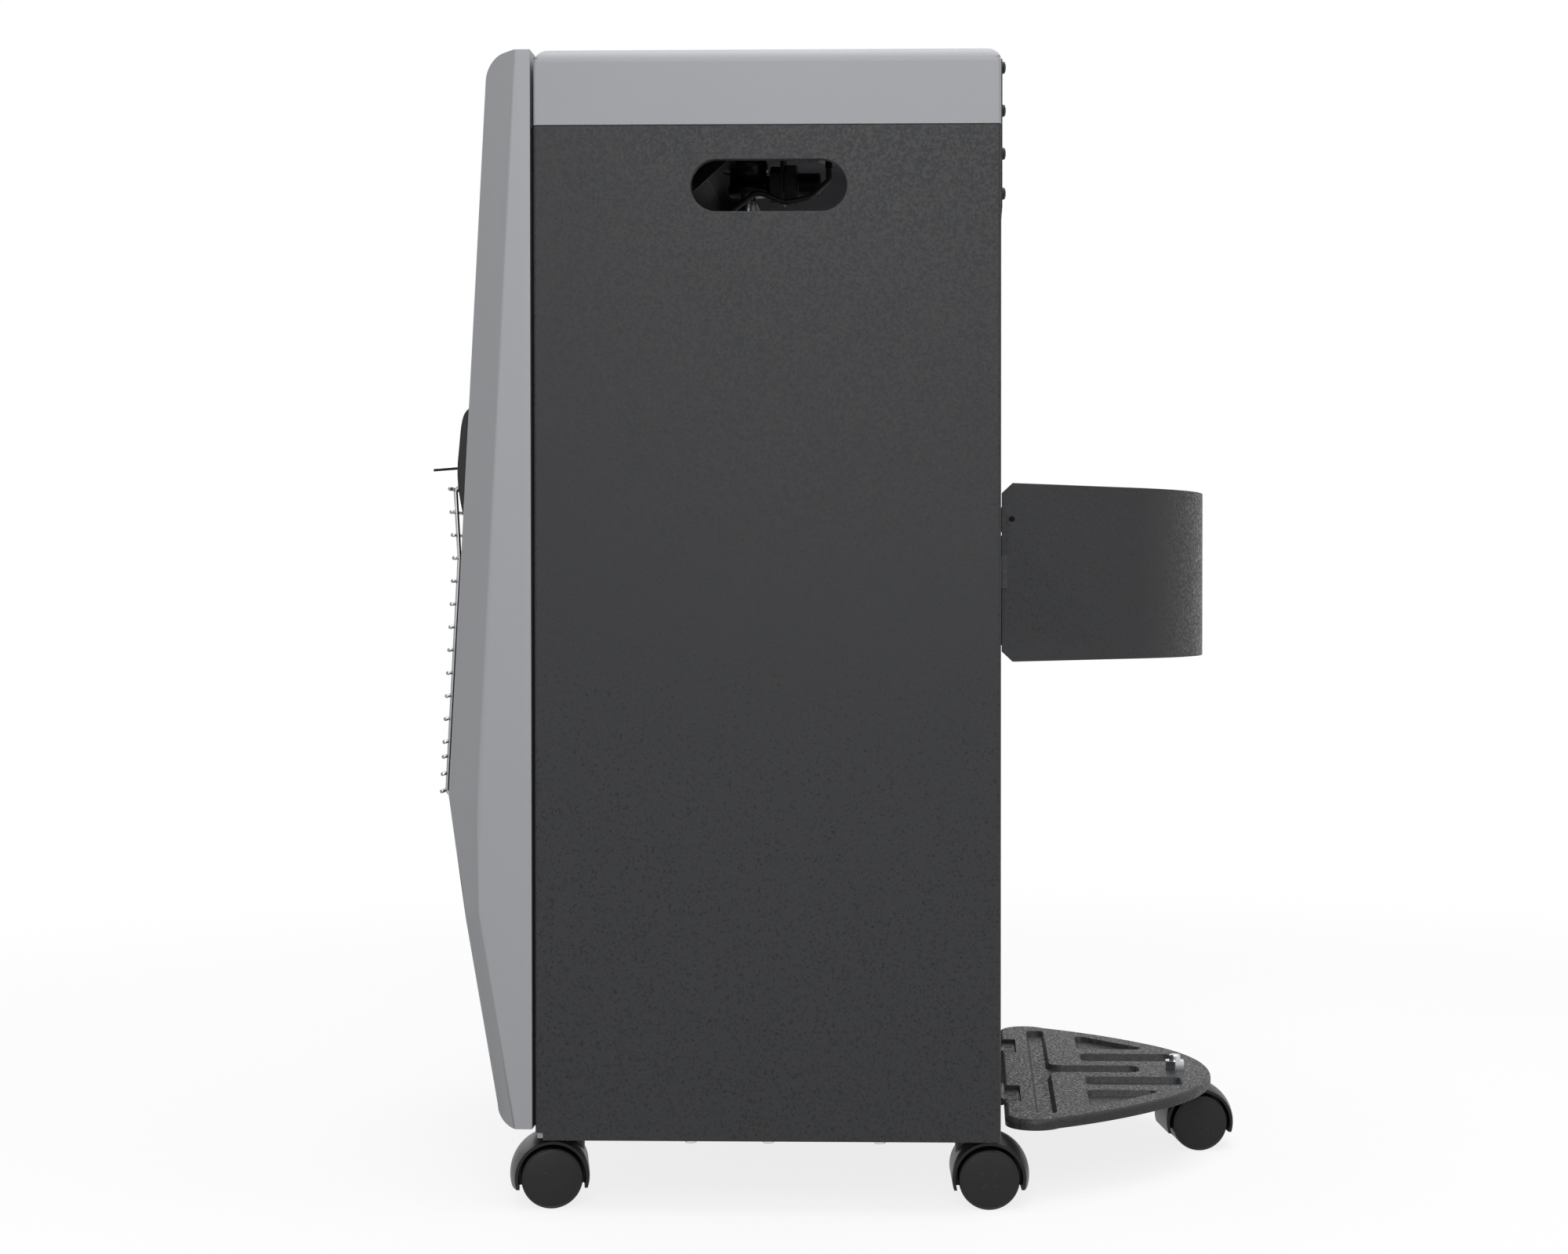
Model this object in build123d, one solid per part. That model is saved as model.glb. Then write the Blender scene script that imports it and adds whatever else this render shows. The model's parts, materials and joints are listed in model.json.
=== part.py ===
from build123d import *
from math import acos, atan2, cos, hypot, pi, sin, sqrt
import os

# A folding mobile gas cabinet heater. Millimetres, +Z up, front towards -Y.
# Every piece is drawn with Y measured back from the front of the cabinet's sides, and is
# shifted on saving so that the origin lies under the middle of the whole heater.

# Cabinet
cabinet_width = 420.0
cabinet_depth = 300.0
cabinet_height = 750.0
cover_height = 49.5
cover_seam = 0.5
panel_bottom = 47.8
panel_sheet = 1.2
flange_width = 15.0
bend_radius = 2.0
corner_notch = 5.0
floor_top = 55.2
floor_sheet = 1.5
cover_sheet = 1.5
cover_edge_radius = 10.0
over = 1.0  # How far a cutting tool runs past the face it opens

# The flat land of the floor that the bottle stands on, inside a pressed bead
land_half_width = 150.0
land_front = 104.0
land_rear_inset = 22.0
bead_width = 5.0
bead_depth = 0.8

# Hand slots, by their distance below the top and behind the side's middle
slot_length = 100.0
slot_height = 33.0
slot_drop = 88.4
slot_back = 1.3
slot_rim_depth = 5.0

# Control well in the top cover, with the valve ahead of its middle and the igniter behind
well_width = 84.0
well_length = 116.0
well_depth = 28.0
well_corner = 14.0
well_centre_x = 50.0
valve_ahead = 27.0
piezo_x = 64.0
piezo_behind = 31.5

# Rear upper panel and screws, by their distance below the top
rear_panel_sheet = 0.8
rear_panel_drop = 102.0
rear_panel_rise = 4.0
rear_panel_corner = 4.0
rear_panel_margin = 8.0
cover_screw_drops = [10.1, 37.8]
panel_screw_drops = [65.5, 91.2]
screw_head_dia = 8.0
screw_head_height = 2.4
screw_dia = 3.9
screw_inset = 20.0
screw_grip = 3.0
base_screw_steps = [-50.0, 0.0, 72.0]
vent_length = 60.0
vent_height = 5.0
vent_pitch = 14.0
vent_count = 4

# Inner sheets
shield_y = 88.0
shield_drop = 110.0
shield_flange = 12.0
rail_sheet = 1.5
rail_lap = 12.0
rail_shelf_depth = 27.8
gusset_drop = 26.0
gusset_x = 100.0
pipe_clearance = 3.0
lead_clearance = 1.0

# Front shell
shell_sheet = 2.0
shell_gap = 2.0
shell_bottom = 55.0
shell_top_gap = 1.0
shell_top_radius = 15.0
shell_bottom_radius = 14.0
gasket_width = 10.0
gasket_inset = 4.0
gasket_rise = 9.0
upper_chamfer = 28.0
lower_chamfer = 10.0
crease_low_z = 190.0
crease_high_z = 268.0
crease_rise = 1.5
crease_step = 2.0
front_bulge = 61.5
front_lean = 26.5  # How far the front falls back between the upper crease and the top
side_bulge = 37.1
side_lean = 25.16
low_front_bulge = 46.8
low_front_slope = 0.170
low_side_bulge = 35.9
low_side_slope = 0.173

# Burner opening, bezel, visor and guard
opening_inset = 60.0
opening_bottom = 284.0
opening_top = 470.0
bezel_margin = 15.0
bezel_proud = 2.0
hood_profile = [  # Height, and how far the hood stands ahead of the shell's front there
    (524.0, 1.0),
    (520.0, 6.0),
    (514.0, 7.8),
    (499.0, 8.7),
    (484.0, 9.2),
    (468.5, 7.6),
    (456.0, 4.8),
    (445.0, 2.0),
]
visor_z = 484.4
visor_sheet = 1.2
visor_root = 6.0
visor_corner_inset = 45.0
visor_reach = 90.0
visor_corner_reach = 61.0
guard_spread = 10.0
guard_overhang = 8.0
guard_offset = 5.4
guard_top_offset = 10.4
guard_bend_z = 424.0
guard_side_wire = 2.8
guard_cross_wire = 2.6
guard_top = 469.4
guard_pitch = 15.2
guard_cross_count = 12
guard_low_top = 292.4
guard_low_pitch = 11.4
guard_low_count = 3
guard_bend_radius = 3.6
funnel_sheet = 1.0

# Burner
plaque_height = 132.0
plaque_thickness = 13.0
plaque_count = 3
plaque_gap = 5.0
plaque_lip = 5.0
plaque_groove = 2.0
plaque_rows = 5
plaque_centre_z = 368.0
plaque_front = -20.0
field_margin = 2.0
burner_end_gap = 2.5
frame_sheet = 1.5
burner_wall = 6.0
burner_depth = 35.0
venturi_dia = 22.0
venturi_bore = 18.0
venturi_sink = 3.0
manifold_dia = 12.0
manifold_drop = 16.0
manifold_end = 12.0
injector_rise = 2.0
injector_hex = 4.6
injector_hex_height = 4.0
injector_dia = 4.4
injector_length = 8.0

# Pilot group under the right-hand plaques
pilot_y = -28.0
pilot_spread = 14.0
pilot_drop = 6.0
pilot_sheet = 1.2
pilot_half_depth = 6.0
pilot_back = 4.0
pilot_rise = 18.0
pilot_dia = 6.0
pilot_head_dia = 10.0
pilot_nut_dia = 9.0
probe_foot = 5.0
probe_dia = 6.0
electrode_dia = 1.6
sensor_dia = 4.0

# Gas line
valve_x = 40.0
valve_body_dia = 26.0
valve_drop = 68.0
valve_ring_height = 5.0
valve_ring_step = 2.5
spindle_dia = 6.0
spindle_sink = 32.0
spindle_free = 5.0
knob_dia = 42.0
knob_height = 20.5
knob_lift = 6.5
knob_flutes = 12
flute_dia = 8.0
bracket_behind = 24.0
bracket_sheet = 2.0
bracket_margin = 6.0
inlet_drop = 60.0
inlet_behind = 16.0
inlet_hex = 12.7
inlet_dia = 16.6
inlet_bore = 8.0
locknut_hex = 13.8
locknut_length = 8.6
relief_width = 0.8
relief_dia = 14.8
thread_length = 15.0
thread_chamfer = 0.8
gas_pipe_dia = 11.0
gas_pipe_bend = 22.0

# Igniter and leads
piezo_dia = 18.0
piezo_drop = 20.0
collar_step = 3.0
collar_height = 2.0
terminal_dia = 5.0
terminal_length = 5.0
button_dia = 12.0
button_height = 10.0
button_sink = 15.0
button_travel = 4.0
lead_pass_drop = 150.0
lead_drops = [  # Behind the valve, and below the inlet, along the igniter lead's droop
    (46.0, 13.0),
    (28.0, 17.0),
    (8.5, 9.0),
]
lead_droop_x = 26.0
lead_turn_back = -15.0
lead_turn_drop = 26.0
lead_bends = [4, 12, 12, 9, 12, 8]
tube_bends = [5, 8]
run_bends = [8, 12, 7]
lead_stand = 14.0
ignition_route = (22.0, 262.0, 4.0)  # Beside the valve, height of the level run, diameter
pilot_route = (-22.0, 256.0, 4.0)
sensor_route = (-34.0, 250.0, 2.5)

# Casters
wheel_dia = 40.0
caster_width = 46.0
wheel_edge = 1.5
wheel_web_gap = 0.8
web_half = 6.0
swivel_trail = 14.0
hood_radius = 27.2
hood_rim_radius = 24.0
hood_half_width = 21.0
hood_skin_radius = 25.8
hood_skin_ahead = 1.5
hood_skin_rise = 1.4
hood_lip_z = 13.0
hood_clearance = 2.0
axle_dia = 5.0
axle_half = 20.0
stem_dia = 8.0
stem_collar_dia = 14.0
stem_length = 66.0
stem_foot = 23.0
stem_chamfer = 0.8
swivel_boss_dia = 15.0
running_clearance = 0.05
hex_nut_flats = 13.0
hex_nut_height = 6.5
caster_inset = 37.2
front_stem_y = 18.8
rear_stem_inset = 22.2
shelf_stem_back = 128.6

# Rear shelf and its hinges, by distance behind the cabinet
shelf_gap = 3.5
shelf_rim = 7.0
shelf_edge_radius = 3.0
shelf_side_inset = 34.0
shelf_tip_back = 154.0
shelf_curve = [  # In from the shelf's widest line, and behind the cabinet
    (17.0, 3.5),
    (0.0, 21.0),
    (8.0, 39.0),
    (33.0, 74.5),
    (69.0, 111.0),
]
recess_depth = 4.0
tee_bar = (306.0, 14.0, 6.0, 31.0)  # Width, depth, corner, behind the cabinet
tee_stem = (24.0, 74.0, 8.0, 66.0)
side_recess = (28.5, 68.0, 6.0, 96.0)
side_recess_x = 43.7
wing_recess = [(76.5, 61.0), (133.0, 61.0), (127.0, 69.0), (84.0, 109.0), (76.5, 109.0)]
wing_corner = 3.5
hinge_inner_x = 62.0
hinge_outer_x = 116.0
hinge_recess_depth = 11.5
hinge_knuckle_dia = 5.0
hinge_pin_dia = 2.5
hinge_axis_drop = 0.5
leaf_sheet = 1.0
leaf_setback = 3.0
leaf_clearance = 0.5
leaf_slot = (2.0, 5.4)
knuckle_gap = 0.3

# Bottle strap
strap_bottom = 356.4
strap_top = 471.6
strap_sheet = 1.5
strap_radius = 165.0
strap_apex_back = 147.5
strap_end_inset = 7.0
strap_end_gap = 3.0
strap_corner_y = 4.5
strap_corner_z = 6.7
strap_hole_back = 6.9
strap_hole_z = 448.2
strap_hole_dia = 4.0
tab_height = 21.0
hook_drop = 8.0
hook_reach = 12.0
strap_lift = 12.0
seat_gap = 0.3

# Worked out from the sizes above
half_width = cabinet_width / 2
panel_inner = half_width - panel_sheet
panel_top = cabinet_height - cover_height - cover_seam
cover_bottom = cabinet_height - cover_height
well_floor = cabinet_height - well_depth
floor_under = floor_top - floor_sheet
slot_centre_y = cabinet_depth / 2 + slot_back
slot_centre_z = cabinet_height - slot_drop
well_centre_y = cabinet_depth / 2
valve_y = well_centre_y - valve_ahead
piezo_y = well_centre_y + piezo_behind
rear_panel_bottom = cabinet_height - rear_panel_drop
rear_panel_top = cabinet_height - cover_edge_radius + rear_panel_rise
rear_screw_x = half_width - screw_inset
cover_screw_zs = [cabinet_height - drop for drop in cover_screw_drops]
panel_screw_zs = [cabinet_height - drop for drop in panel_screw_drops]
base_screw_x = half_width - flange_width / 2
base_screw_ys = [cabinet_depth / 2 + step for step in base_screw_steps]
spindle_hole = spindle_dia + 1
shield_top = cabinet_height - shield_drop
shell_top = cabinet_height - shell_top_gap
front_slope = front_lean / (shell_top - crease_high_z)
side_slope = side_lean / (shell_top - crease_high_z)
opening_half = half_width - opening_inset
visor_tip_half = opening_half - visor_corner_inset
guard_half_width = opening_half + guard_spread
plaque_pitch = 2 * (opening_half - burner_end_gap - field_margin) / plaque_count
plaque_width = plaque_pitch - plaque_gap
plaque_low = plaque_centre_z - plaque_height / 2
plaque_high = plaque_centre_z + plaque_height / 2
field_half = plaque_pitch * plaque_count / 2 + field_margin
field_low = plaque_low - burner_wall
field_high = plaque_high + burner_wall
frame_front = plaque_front - frame_sheet
venturi_y = plaque_front + burner_depth + venturi_dia / 2 - venturi_sink
manifold_z = field_low - manifold_drop
injector_z = manifold_z + manifold_dia / 2 + injector_rise
pilot_x = plaque_pitch / 2
pilot_shelf_z = field_low - pilot_drop
pilot_foot = pilot_shelf_z - pilot_sheet
pilot_top = pilot_shelf_z + pilot_rise
valve_bottom = cabinet_height - valve_drop
valve_top = well_floor - cover_sheet - bracket_sheet
spindle_foot = well_floor - spindle_sink
knob_foot = well_floor + knob_lift
bracket_y = valve_y + bracket_behind
bracket_back = bracket_y + bracket_sheet
inlet_z = cabinet_height - inlet_drop
inlet_front = valve_y + inlet_behind
locknut_back = bracket_back + locknut_length
thread_start = locknut_back + relief_width
thread_end = thread_start + thread_length + thread_chamfer
lead_top_z = well_floor - piezo_drop - terminal_length
lead_pass_z = cabinet_height - lead_pass_drop
button_seat = well_floor - button_sink
wheel_radius = wheel_dia / 2
swivel_top = wheel_radius + hood_radius - seat_gap
hinge_y = cabinet_depth + shelf_gap / 2
hinge_z = floor_top - hinge_axis_drop
hinge_width = hinge_outer_x - hinge_inner_x
shelf_front_y = cabinet_depth + shelf_gap
shelf_stem_y = cabinet_depth + shelf_stem_back
shelf_half_width = half_width - shelf_side_inset
strap_end_x = half_width - strap_end_inset
strap_apex_y = cabinet_depth + strap_apex_back
strap_hole_y = cabinet_depth + strap_hole_back
tab_bottom = (strap_bottom + strap_top - tab_height) / 2
rear_reach = shelf_stem_y + swivel_trail + hood_radius
origin_shift = (visor_reach - rear_reach) / 2
caster_x = half_width - caster_inset
rear_stem_y = cabinet_depth - rear_stem_inset
base_stems = [  # Name, stem place, side that the wheels trail to, and turn about the stem
    ("front_right", caster_x, front_stem_y, -1, 10),
    ("front_left", -caster_x, front_stem_y, -1, 0),
    ("rear_right", caster_x, rear_stem_y, 1, 3),
    ("rear_left", -caster_x, rear_stem_y, 1, 0),
]
shelf_caster = ("shelf", 0, shelf_stem_y, 1, 8)


def block(x_range, y_range, z_range):
    """A box given by its limits along each axis."""
    size = [limits[1] - limits[0] for limits in (x_range, y_range, z_range)]
    middle = [(limits[1] + limits[0]) / 2 for limits in (x_range, y_range, z_range)]
    return Pos(*middle) * Box(*size)


def rod(start, end, diameter):
    """A round bar from one point to another."""
    axis = Vector(*end) - Vector(*start)
    return extrude(Plane(origin=start, z_dir=axis) * Circle(diameter / 2), axis.length)


def bent_tube(points, radii, diameter):
    """A round tube along straight runs that are joined by tangent arcs."""
    path = FilletPolyline(*points, radius=radii)
    start = Plane(origin=path @ 0, z_dir=path % 0)
    return sweep(start * Circle(diameter / 2), path=path)


def prism(points, amount, plane):
    """A straight-sided polygon on a plane, pushed out along its normal."""
    return extrude(plane * make_face(Polyline(*points, close=True)), amount)


def mirrored(shape):
    """The same shape on the other side of the heater."""
    return mirror(shape, about=Plane.YZ)


def save(name, *shapes):
    """Write one named piece, or one group of like pieces, in the heater's own frame."""
    solids = [solid for shape in shapes for solid in shape.solids()]
    moved = [Pos(0, origin_shift, 0) * solid for solid in solids]
    whole = moved[0] if len(moved) == 1 else Compound(children=moved)
    export_step(whole, f"parts/{name}.step")


def hand_slot(depth, grown):
    """The long round-ended hole of the hand slot, cut or rimmed from the outer face inwards."""
    face = Plane.YZ.offset(half_width - depth) * Pos(slot_centre_y, slot_centre_z)
    outline = SlotOverall(slot_length + 2 * grown, slot_height + 2 * grown)
    return extrude(face * outline, depth)


def side_panel():
    """The right side: a flat sheet with turned-in edges, a rimmed hand slot and a strap slot."""
    tall = (panel_bottom, panel_top)
    edge = (half_width - flange_width, half_width)
    sheet = block((panel_inner, half_width), (0, cabinet_depth), tall)
    sheet += block(edge, (0, panel_sheet), tall)
    sheet += block(edge, (cabinet_depth - panel_sheet, cabinet_depth), tall)
    sheet += block(edge, (0, cabinet_depth), (panel_bottom, panel_bottom + panel_sheet))
    bends = sheet.edges().filter_by(Axis.Z).group_by(Axis.X)[-1]
    sheet = fillet(bends, bend_radius)
    sheet -= block(
        (half_width - flange_width - over, half_width + over),
        (-over, corner_notch),
        (panel_bottom - over, panel_bottom + corner_notch),
    )
    sheet += hand_slot(slot_rim_depth, panel_sheet)
    sheet -= hand_slot(slot_rim_depth, 0)
    rim = sheet.edges().filter_by(Plane.YZ).group_by(Axis.X)[-1]
    sheet = fillet([edge for edge in rim if slot_zone(edge.center())], panel_sheet / 2)
    sheet -= block(
        (strap_end_x - strap_sheet - seat_gap, strap_end_x + seat_gap),
        (cabinet_depth - 2 * panel_sheet, cabinet_depth + over),
        (tab_bottom - seat_gap, tab_bottom + tab_height + strap_lift + seat_gap),
    )
    for y in base_screw_ys:
        sheet -= rod((base_screw_x, y, 0), (base_screw_x, y, floor_under), screw_dia)
    for z in panel_screw_zs:
        sheet -= rear_screw_hole(rear_screw_x, z)
    return sheet


def rear_screw_hole(x, z):
    """The hole for one of the screws in the cabinet's back."""
    ends = (cabinet_depth - screw_grip, cabinet_depth + screw_grip)
    return rod((x, ends[0], z), (x, ends[1], z), screw_dia)


def slot_zone(point):
    """Whether a point lies at the hand slot."""
    near_y = abs(point.Y - slot_centre_y) < slot_length / 2 + panel_sheet / 2
    return near_y and abs(point.Z - slot_centre_z) < slot_height / 2 + panel_sheet / 2


def bead_ring(low, depth):
    """The bead that is pressed into the floor round the bottle's land."""
    rear = cabinet_depth - land_rear_inset
    middle = Pos(0, (land_front + rear) / 2, low)
    size = (2 * land_half_width, rear - land_front)
    ring = Rectangle(size[0] + 2 * bead_width, size[1] + 2 * bead_width) - Rectangle(*size)
    return middle * extrude(ring, depth)


def base_plate():
    """The floor that the gas bottle stands on, a sheet with turned-down rims."""
    top = block(
        (-panel_inner, panel_inner),
        (panel_sheet, cabinet_depth - panel_sheet),
        (panel_bottom + panel_sheet, floor_top),
    )
    tongue = half_width - flange_width - over
    rear = (cabinet_depth - 2 * floor_sheet, cabinet_depth)
    top += block((-tongue, tongue), rear, (panel_bottom + panel_sheet, floor_top))
    hollow = block(
        (-panel_inner + floor_sheet, panel_inner - floor_sheet),
        (panel_sheet + floor_sheet, cabinet_depth - panel_sheet - floor_sheet),
        (panel_bottom, floor_under),
    )
    plate = top - hollow + bead_ring(floor_under - bead_depth, bead_depth)
    plate -= bead_ring(floor_top - bead_depth, bead_depth)
    for x in (-hinge_outer_x, hinge_inner_x):
        across = (x, x + hinge_width)
        plate += block(
            (across[0] - floor_sheet, across[1] + floor_sheet),
            (cabinet_depth - hinge_recess_depth - floor_sheet, cabinet_depth),
            (floor_under - recess_depth, floor_under),
        )
        plate -= block(
            across,
            (cabinet_depth - hinge_recess_depth, cabinet_depth + over),
            (floor_top - recess_depth, floor_top + over),
        )
    for _, x, y, _, _ in base_stems:
        plate -= rod((x, y, panel_bottom), (x, y, floor_top + over), stem_dia)
    for y in base_screw_ys:
        for x in (-base_screw_x, base_screw_x):
            plate -= rod((x, y, panel_bottom), (x, y, floor_top + over), screw_dia)
    return plate


def top_cover():
    """The upper casing with its rounded edges and the sunk well that holds the controls."""
    cover = block((-half_width, half_width), (0, cabinet_depth), (cover_bottom, cabinet_height))
    cover = fillet(cover.edges().filter_by(Axis.Z), bend_radius)
    cover = fillet(cover.edges().group_by(Axis.Z)[-1], cover_edge_radius)
    inner = block(
        (-half_width + cover_sheet, half_width - cover_sheet),
        (cover_sheet, cabinet_depth - cover_sheet),
        (cover_bottom - over, cabinet_height - cover_sheet),
    )
    inner = fillet(inner.edges().group_by(Axis.Z)[-1], cover_edge_radius - cover_sheet)
    cover -= inner
    well = Pos(well_centre_x, well_centre_y, well_floor)
    outline = RectangleRounded(well_width, well_length, well_corner)
    grown = RectangleRounded(
        well_width + 2 * cover_sheet, well_length + 2 * cover_sheet, well_corner + cover_sheet
    )
    under = Pos(0, 0, -cover_sheet)
    cover += well * under * extrude(grown, well_depth)
    cover -= well * extrude(outline, well_depth + over)
    under_well = well_floor - cover_sheet - over
    for x, y, dia in ((valve_x, valve_y, spindle_hole), (piezo_x, piezo_y, piezo_dia)):
        cover -= rod((x, y, under_well), (x, y, well_floor + over), dia)
    for x in (-rear_screw_x, rear_screw_x):
        for z in cover_screw_zs:
            cover -= rear_screw_hole(x, z)
    return cover


def rear_upper_panel():
    """The thin plate across the back of the upper compartment, with rows of vents."""
    wide = cabinet_width - 2 * rear_panel_margin
    tall = rear_panel_top - rear_panel_bottom
    middle = rear_panel_bottom + tall / 2
    face = Plane(origin=(0, cabinet_depth, middle), x_dir=(1, 0, 0), z_dir=(0, 1, 0))
    outline = face * RectangleRounded(wide, tall, rear_panel_corner)
    panel = extrude(outline, rear_panel_sheet)
    for spot in GridLocations(vent_length + vent_pitch, vent_pitch, vent_count, vent_count):
        panel -= extrude(face * spot * SlotOverall(vent_length, vent_height), rear_panel_sheet)
    for x in (-rear_screw_x, rear_screw_x):
        for z in cover_screw_zs + panel_screw_zs:
            panel -= rear_screw_hole(x, z)
    return panel


def pan_screw(seat, inward, length):
    """A pan-head screw: its domed head stands on a seat and its shank runs inwards."""
    plane = Plane(origin=seat, z_dir=-Vector(*inward))
    head = extrude(plane * Circle(screw_head_dia / 2), screw_head_height)
    crown = head.edges().filter_by(GeomType.CIRCLE).sort_by(Axis(seat, plane.z_dir))
    head = fillet(crown[-1], screw_head_height / 2)
    return head + extrude(plane * Circle(screw_dia / 2), -length)


def cabinet_pieces():
    """The fixed sheets of the cabinet and their screws."""
    panel = side_panel()
    save("side_panel_right", panel)
    save("side_panel_left", mirrored(panel))
    save("base_plate", base_plate())
    save("top_cover", top_cover())
    save("rear_upper_panel", rear_upper_panel())
    rear_face = cabinet_depth + rear_panel_sheet
    rear = [
        pan_screw((x, rear_face, z), (0, -1, 0), rear_panel_sheet + panel_sheet)
        for x in (-rear_screw_x, rear_screw_x)
        for z in cover_screw_zs + panel_screw_zs
    ]
    save("rear_panel_screws", *rear)
    base = [
        pan_screw((x, y, panel_bottom), (0, 0, 1), floor_top - panel_bottom)
        for x in (-base_screw_x, base_screw_x)
        for y in base_screw_ys
    ]
    save("base_screws", *base)


def heat_shield():
    """The upright sheet between the burner and the gas bottle, with flanges at both sides."""
    tall = (floor_top, shield_top)
    shield = block((-panel_inner, panel_inner), (shield_y, shield_y + panel_sheet), tall)
    for side in (-1, 1):
        edge = sorted((side * panel_inner, side * (panel_inner - panel_sheet)))
        shield += block(edge, (shield_y, shield_y + shield_flange), (floor_top, shield_top - rail_lap))
    holes = [(valve_x, manifold_z, gas_pipe_dia + 2 * pipe_clearance)]
    for beside, _, dia in (ignition_route, pilot_route, sensor_route):
        holes.append((valve_x + beside, lead_pass_z, dia + 2 * lead_clearance))
    for x, z, dia in holes:
        shield -= rod((x, shield_y - over, z), (x, shield_y + panel_sheet + over, z), dia)
    return shield


def cross_rail():
    """The rail that ties the sides above the shield, with its shelf and two gussets."""
    face = shield_y + panel_sheet
    rail = block((-panel_inner, panel_inner), (face, face + rail_sheet), (shield_top - rail_lap, panel_top))
    shelf = (panel_top - rail_sheet, panel_top)
    rail += block((-panel_inner, panel_inner), (face, face + rail_shelf_depth), shelf)
    for x in (-gusset_x, gusset_x):
        corner = [
            (face, panel_top - rail_sheet / 2),
            (face + rail_shelf_depth, panel_top - rail_sheet / 2),
            (face, panel_top - gusset_drop),
        ]
        rail += prism(corner, rail_sheet, Plane.YZ.offset(x - rail_sheet / 2))
    notch = valve_body_dia + 2 * bracket_margin
    rail -= rod((valve_x, valve_y, shelf[0] - over), (valve_x, valve_y, shelf[1] + over), notch)
    return rail


def front_line(z):
    """How far the shell's front edge stands ahead of the cabinet at a height."""
    if z >= crease_high_z:
        return front_bulge - (z - crease_high_z) * front_slope
    return low_front_bulge + (z - crease_low_z) * low_front_slope


def side_line(z):
    """How far the shell's side faces run ahead of the cabinet at a height."""
    if z >= crease_high_z:
        return side_bulge - (z - crease_high_z) * side_slope
    return low_side_bulge + (z - crease_low_z) * low_side_slope


def shell_section(z, inset):
    """Half of the shell's outline at a height: rear corner, side, crease and front edge."""
    high = z >= crease_high_z
    side = Vector(half_width, -side_line(z))
    front = Vector(half_width - upper_chamfer, -front_line(z))
    if z <= crease_low_z:
        front = Vector(half_width - lower_chamfer, -front_line(z))
    step = (front - side).normalized() * crease_step
    crease = front - step if high else side + step
    if crease_low_z < z < crease_high_z:
        share = (z - crease_low_z) / (crease_high_z - crease_low_z)
        low_side = Vector(half_width, -low_side_bulge)
        high_side = Vector(half_width, -side_bulge)
        low_front = Vector(half_width - lower_chamfer, -low_front_bulge)
        high_front = Vector(half_width - upper_chamfer, -front_bulge)
        side = low_side + (high_side - low_side) * share
        front = low_front + (high_front - low_front) * share
        crease = low_side + (high_front - low_side) * share + Vector(0, -crease_rise)
    rear = Vector(half_width, inset)
    half = [rear, side, crease, front]
    slant = inset / sqrt(2)
    moves = [(-inset, 0), (-inset, inset / 2), (-slant, slant), (-inset / 2, inset)]
    half = [point + Vector(*move) for point, move in zip(half, moves)]
    return [(p.X, p.Y, z) for p in half] + [(-p.X, p.Y, z) for p in reversed(half)]


def shell_body(inset, bottom, top):
    """The shell's faceted form, or the hollow inside it when inset by the sheet."""
    middle = (crease_low_z + crease_high_z) / 2
    levels = [bottom, crease_low_z, middle, crease_high_z, top]
    rings = [make_face(Polyline(*shell_section(z, inset), close=True)) for z in levels]
    form = loft(rings, ruled=True)
    front = form.edges().filter_by(Axis.X)
    form = fillet(front.group_by(Axis.Z)[-1].sort_by(Axis.Y)[:1], shell_top_radius - inset)
    front = form.edges().filter_by(Axis.X)
    return fillet(front.group_by(Axis.Z)[0].sort_by(Axis.Y)[:1], shell_bottom_radius - inset)


def front_shell():
    """The hollow faceted front with its burner opening and the flanges that meet the seal."""
    shell = shell_body(0, shell_bottom, shell_top)
    shell -= shell_body(shell_sheet, shell_bottom + shell_sheet, shell_top - shell_sheet)
    behind = (-shell_gap, shell_sheet + over)
    shell -= block((-half_width - over, half_width + over), behind, (0, shell_top + over))
    shell -= burner_opening()
    inner = half_width - flange_width
    for side in (-1, 1):
        across = sorted((side * inner, side * (half_width - shell_sheet / 2)))
        tall = (shell_bottom + shell_sheet / 2, shell_top - shell_sheet / 2)
        shell += block(across, (-shell_gap - shell_sheet, -shell_gap), tall)
    return shell


def burner_opening():
    """The straight passage through the front of the shell and its bezel."""
    deep = (-visor_reach, frame_front)
    return block((-opening_half, opening_half), deep, (opening_bottom, opening_top))


def gasket_strips():
    """The two dark seals that keep the shell off the cabinet's sides."""
    outer = half_width - gasket_inset
    strip = block(
        (outer - gasket_width, outer),
        (-shell_gap, 0),
        (panel_bottom + gasket_rise, panel_top),
    )
    return strip, mirrored(strip)


def face_y(z, proud=0.0):
    """Where the plane of the shell's upper front stands at a height, or that much ahead of it."""
    return (z - crease_high_z) * front_slope - front_bulge - proud


def front_bezel():
    """The dark frame round the burner opening, swelling into a hood along its top."""
    low = opening_bottom - bezel_margin
    half = opening_half + bezel_margin
    crest = hood_profile[0][0]
    swell = [(face_y(z, proud), z) for z, proud in hood_profile]
    back = Polyline(
        swell[0],
        (face_y(crest), crest),
        (face_y(low), low),
        (face_y(low, bezel_proud), low),
        swell[-1],
    )
    outline = make_face([back, Spline(*swell)])
    bezel = extrude(Plane.YZ.offset(-half) * outline, 2 * half)
    ends = [edge for edge in bezel.edges() if abs(abs(edge.center().X) - half) < seat_gap]
    outer = [edge for edge in ends if edge.center().Y < face_y(edge.center().Z, bezel_proud / 2)]
    bezel = chamfer(outer, bezel_proud / 2)
    return bezel - burner_opening()


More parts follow.
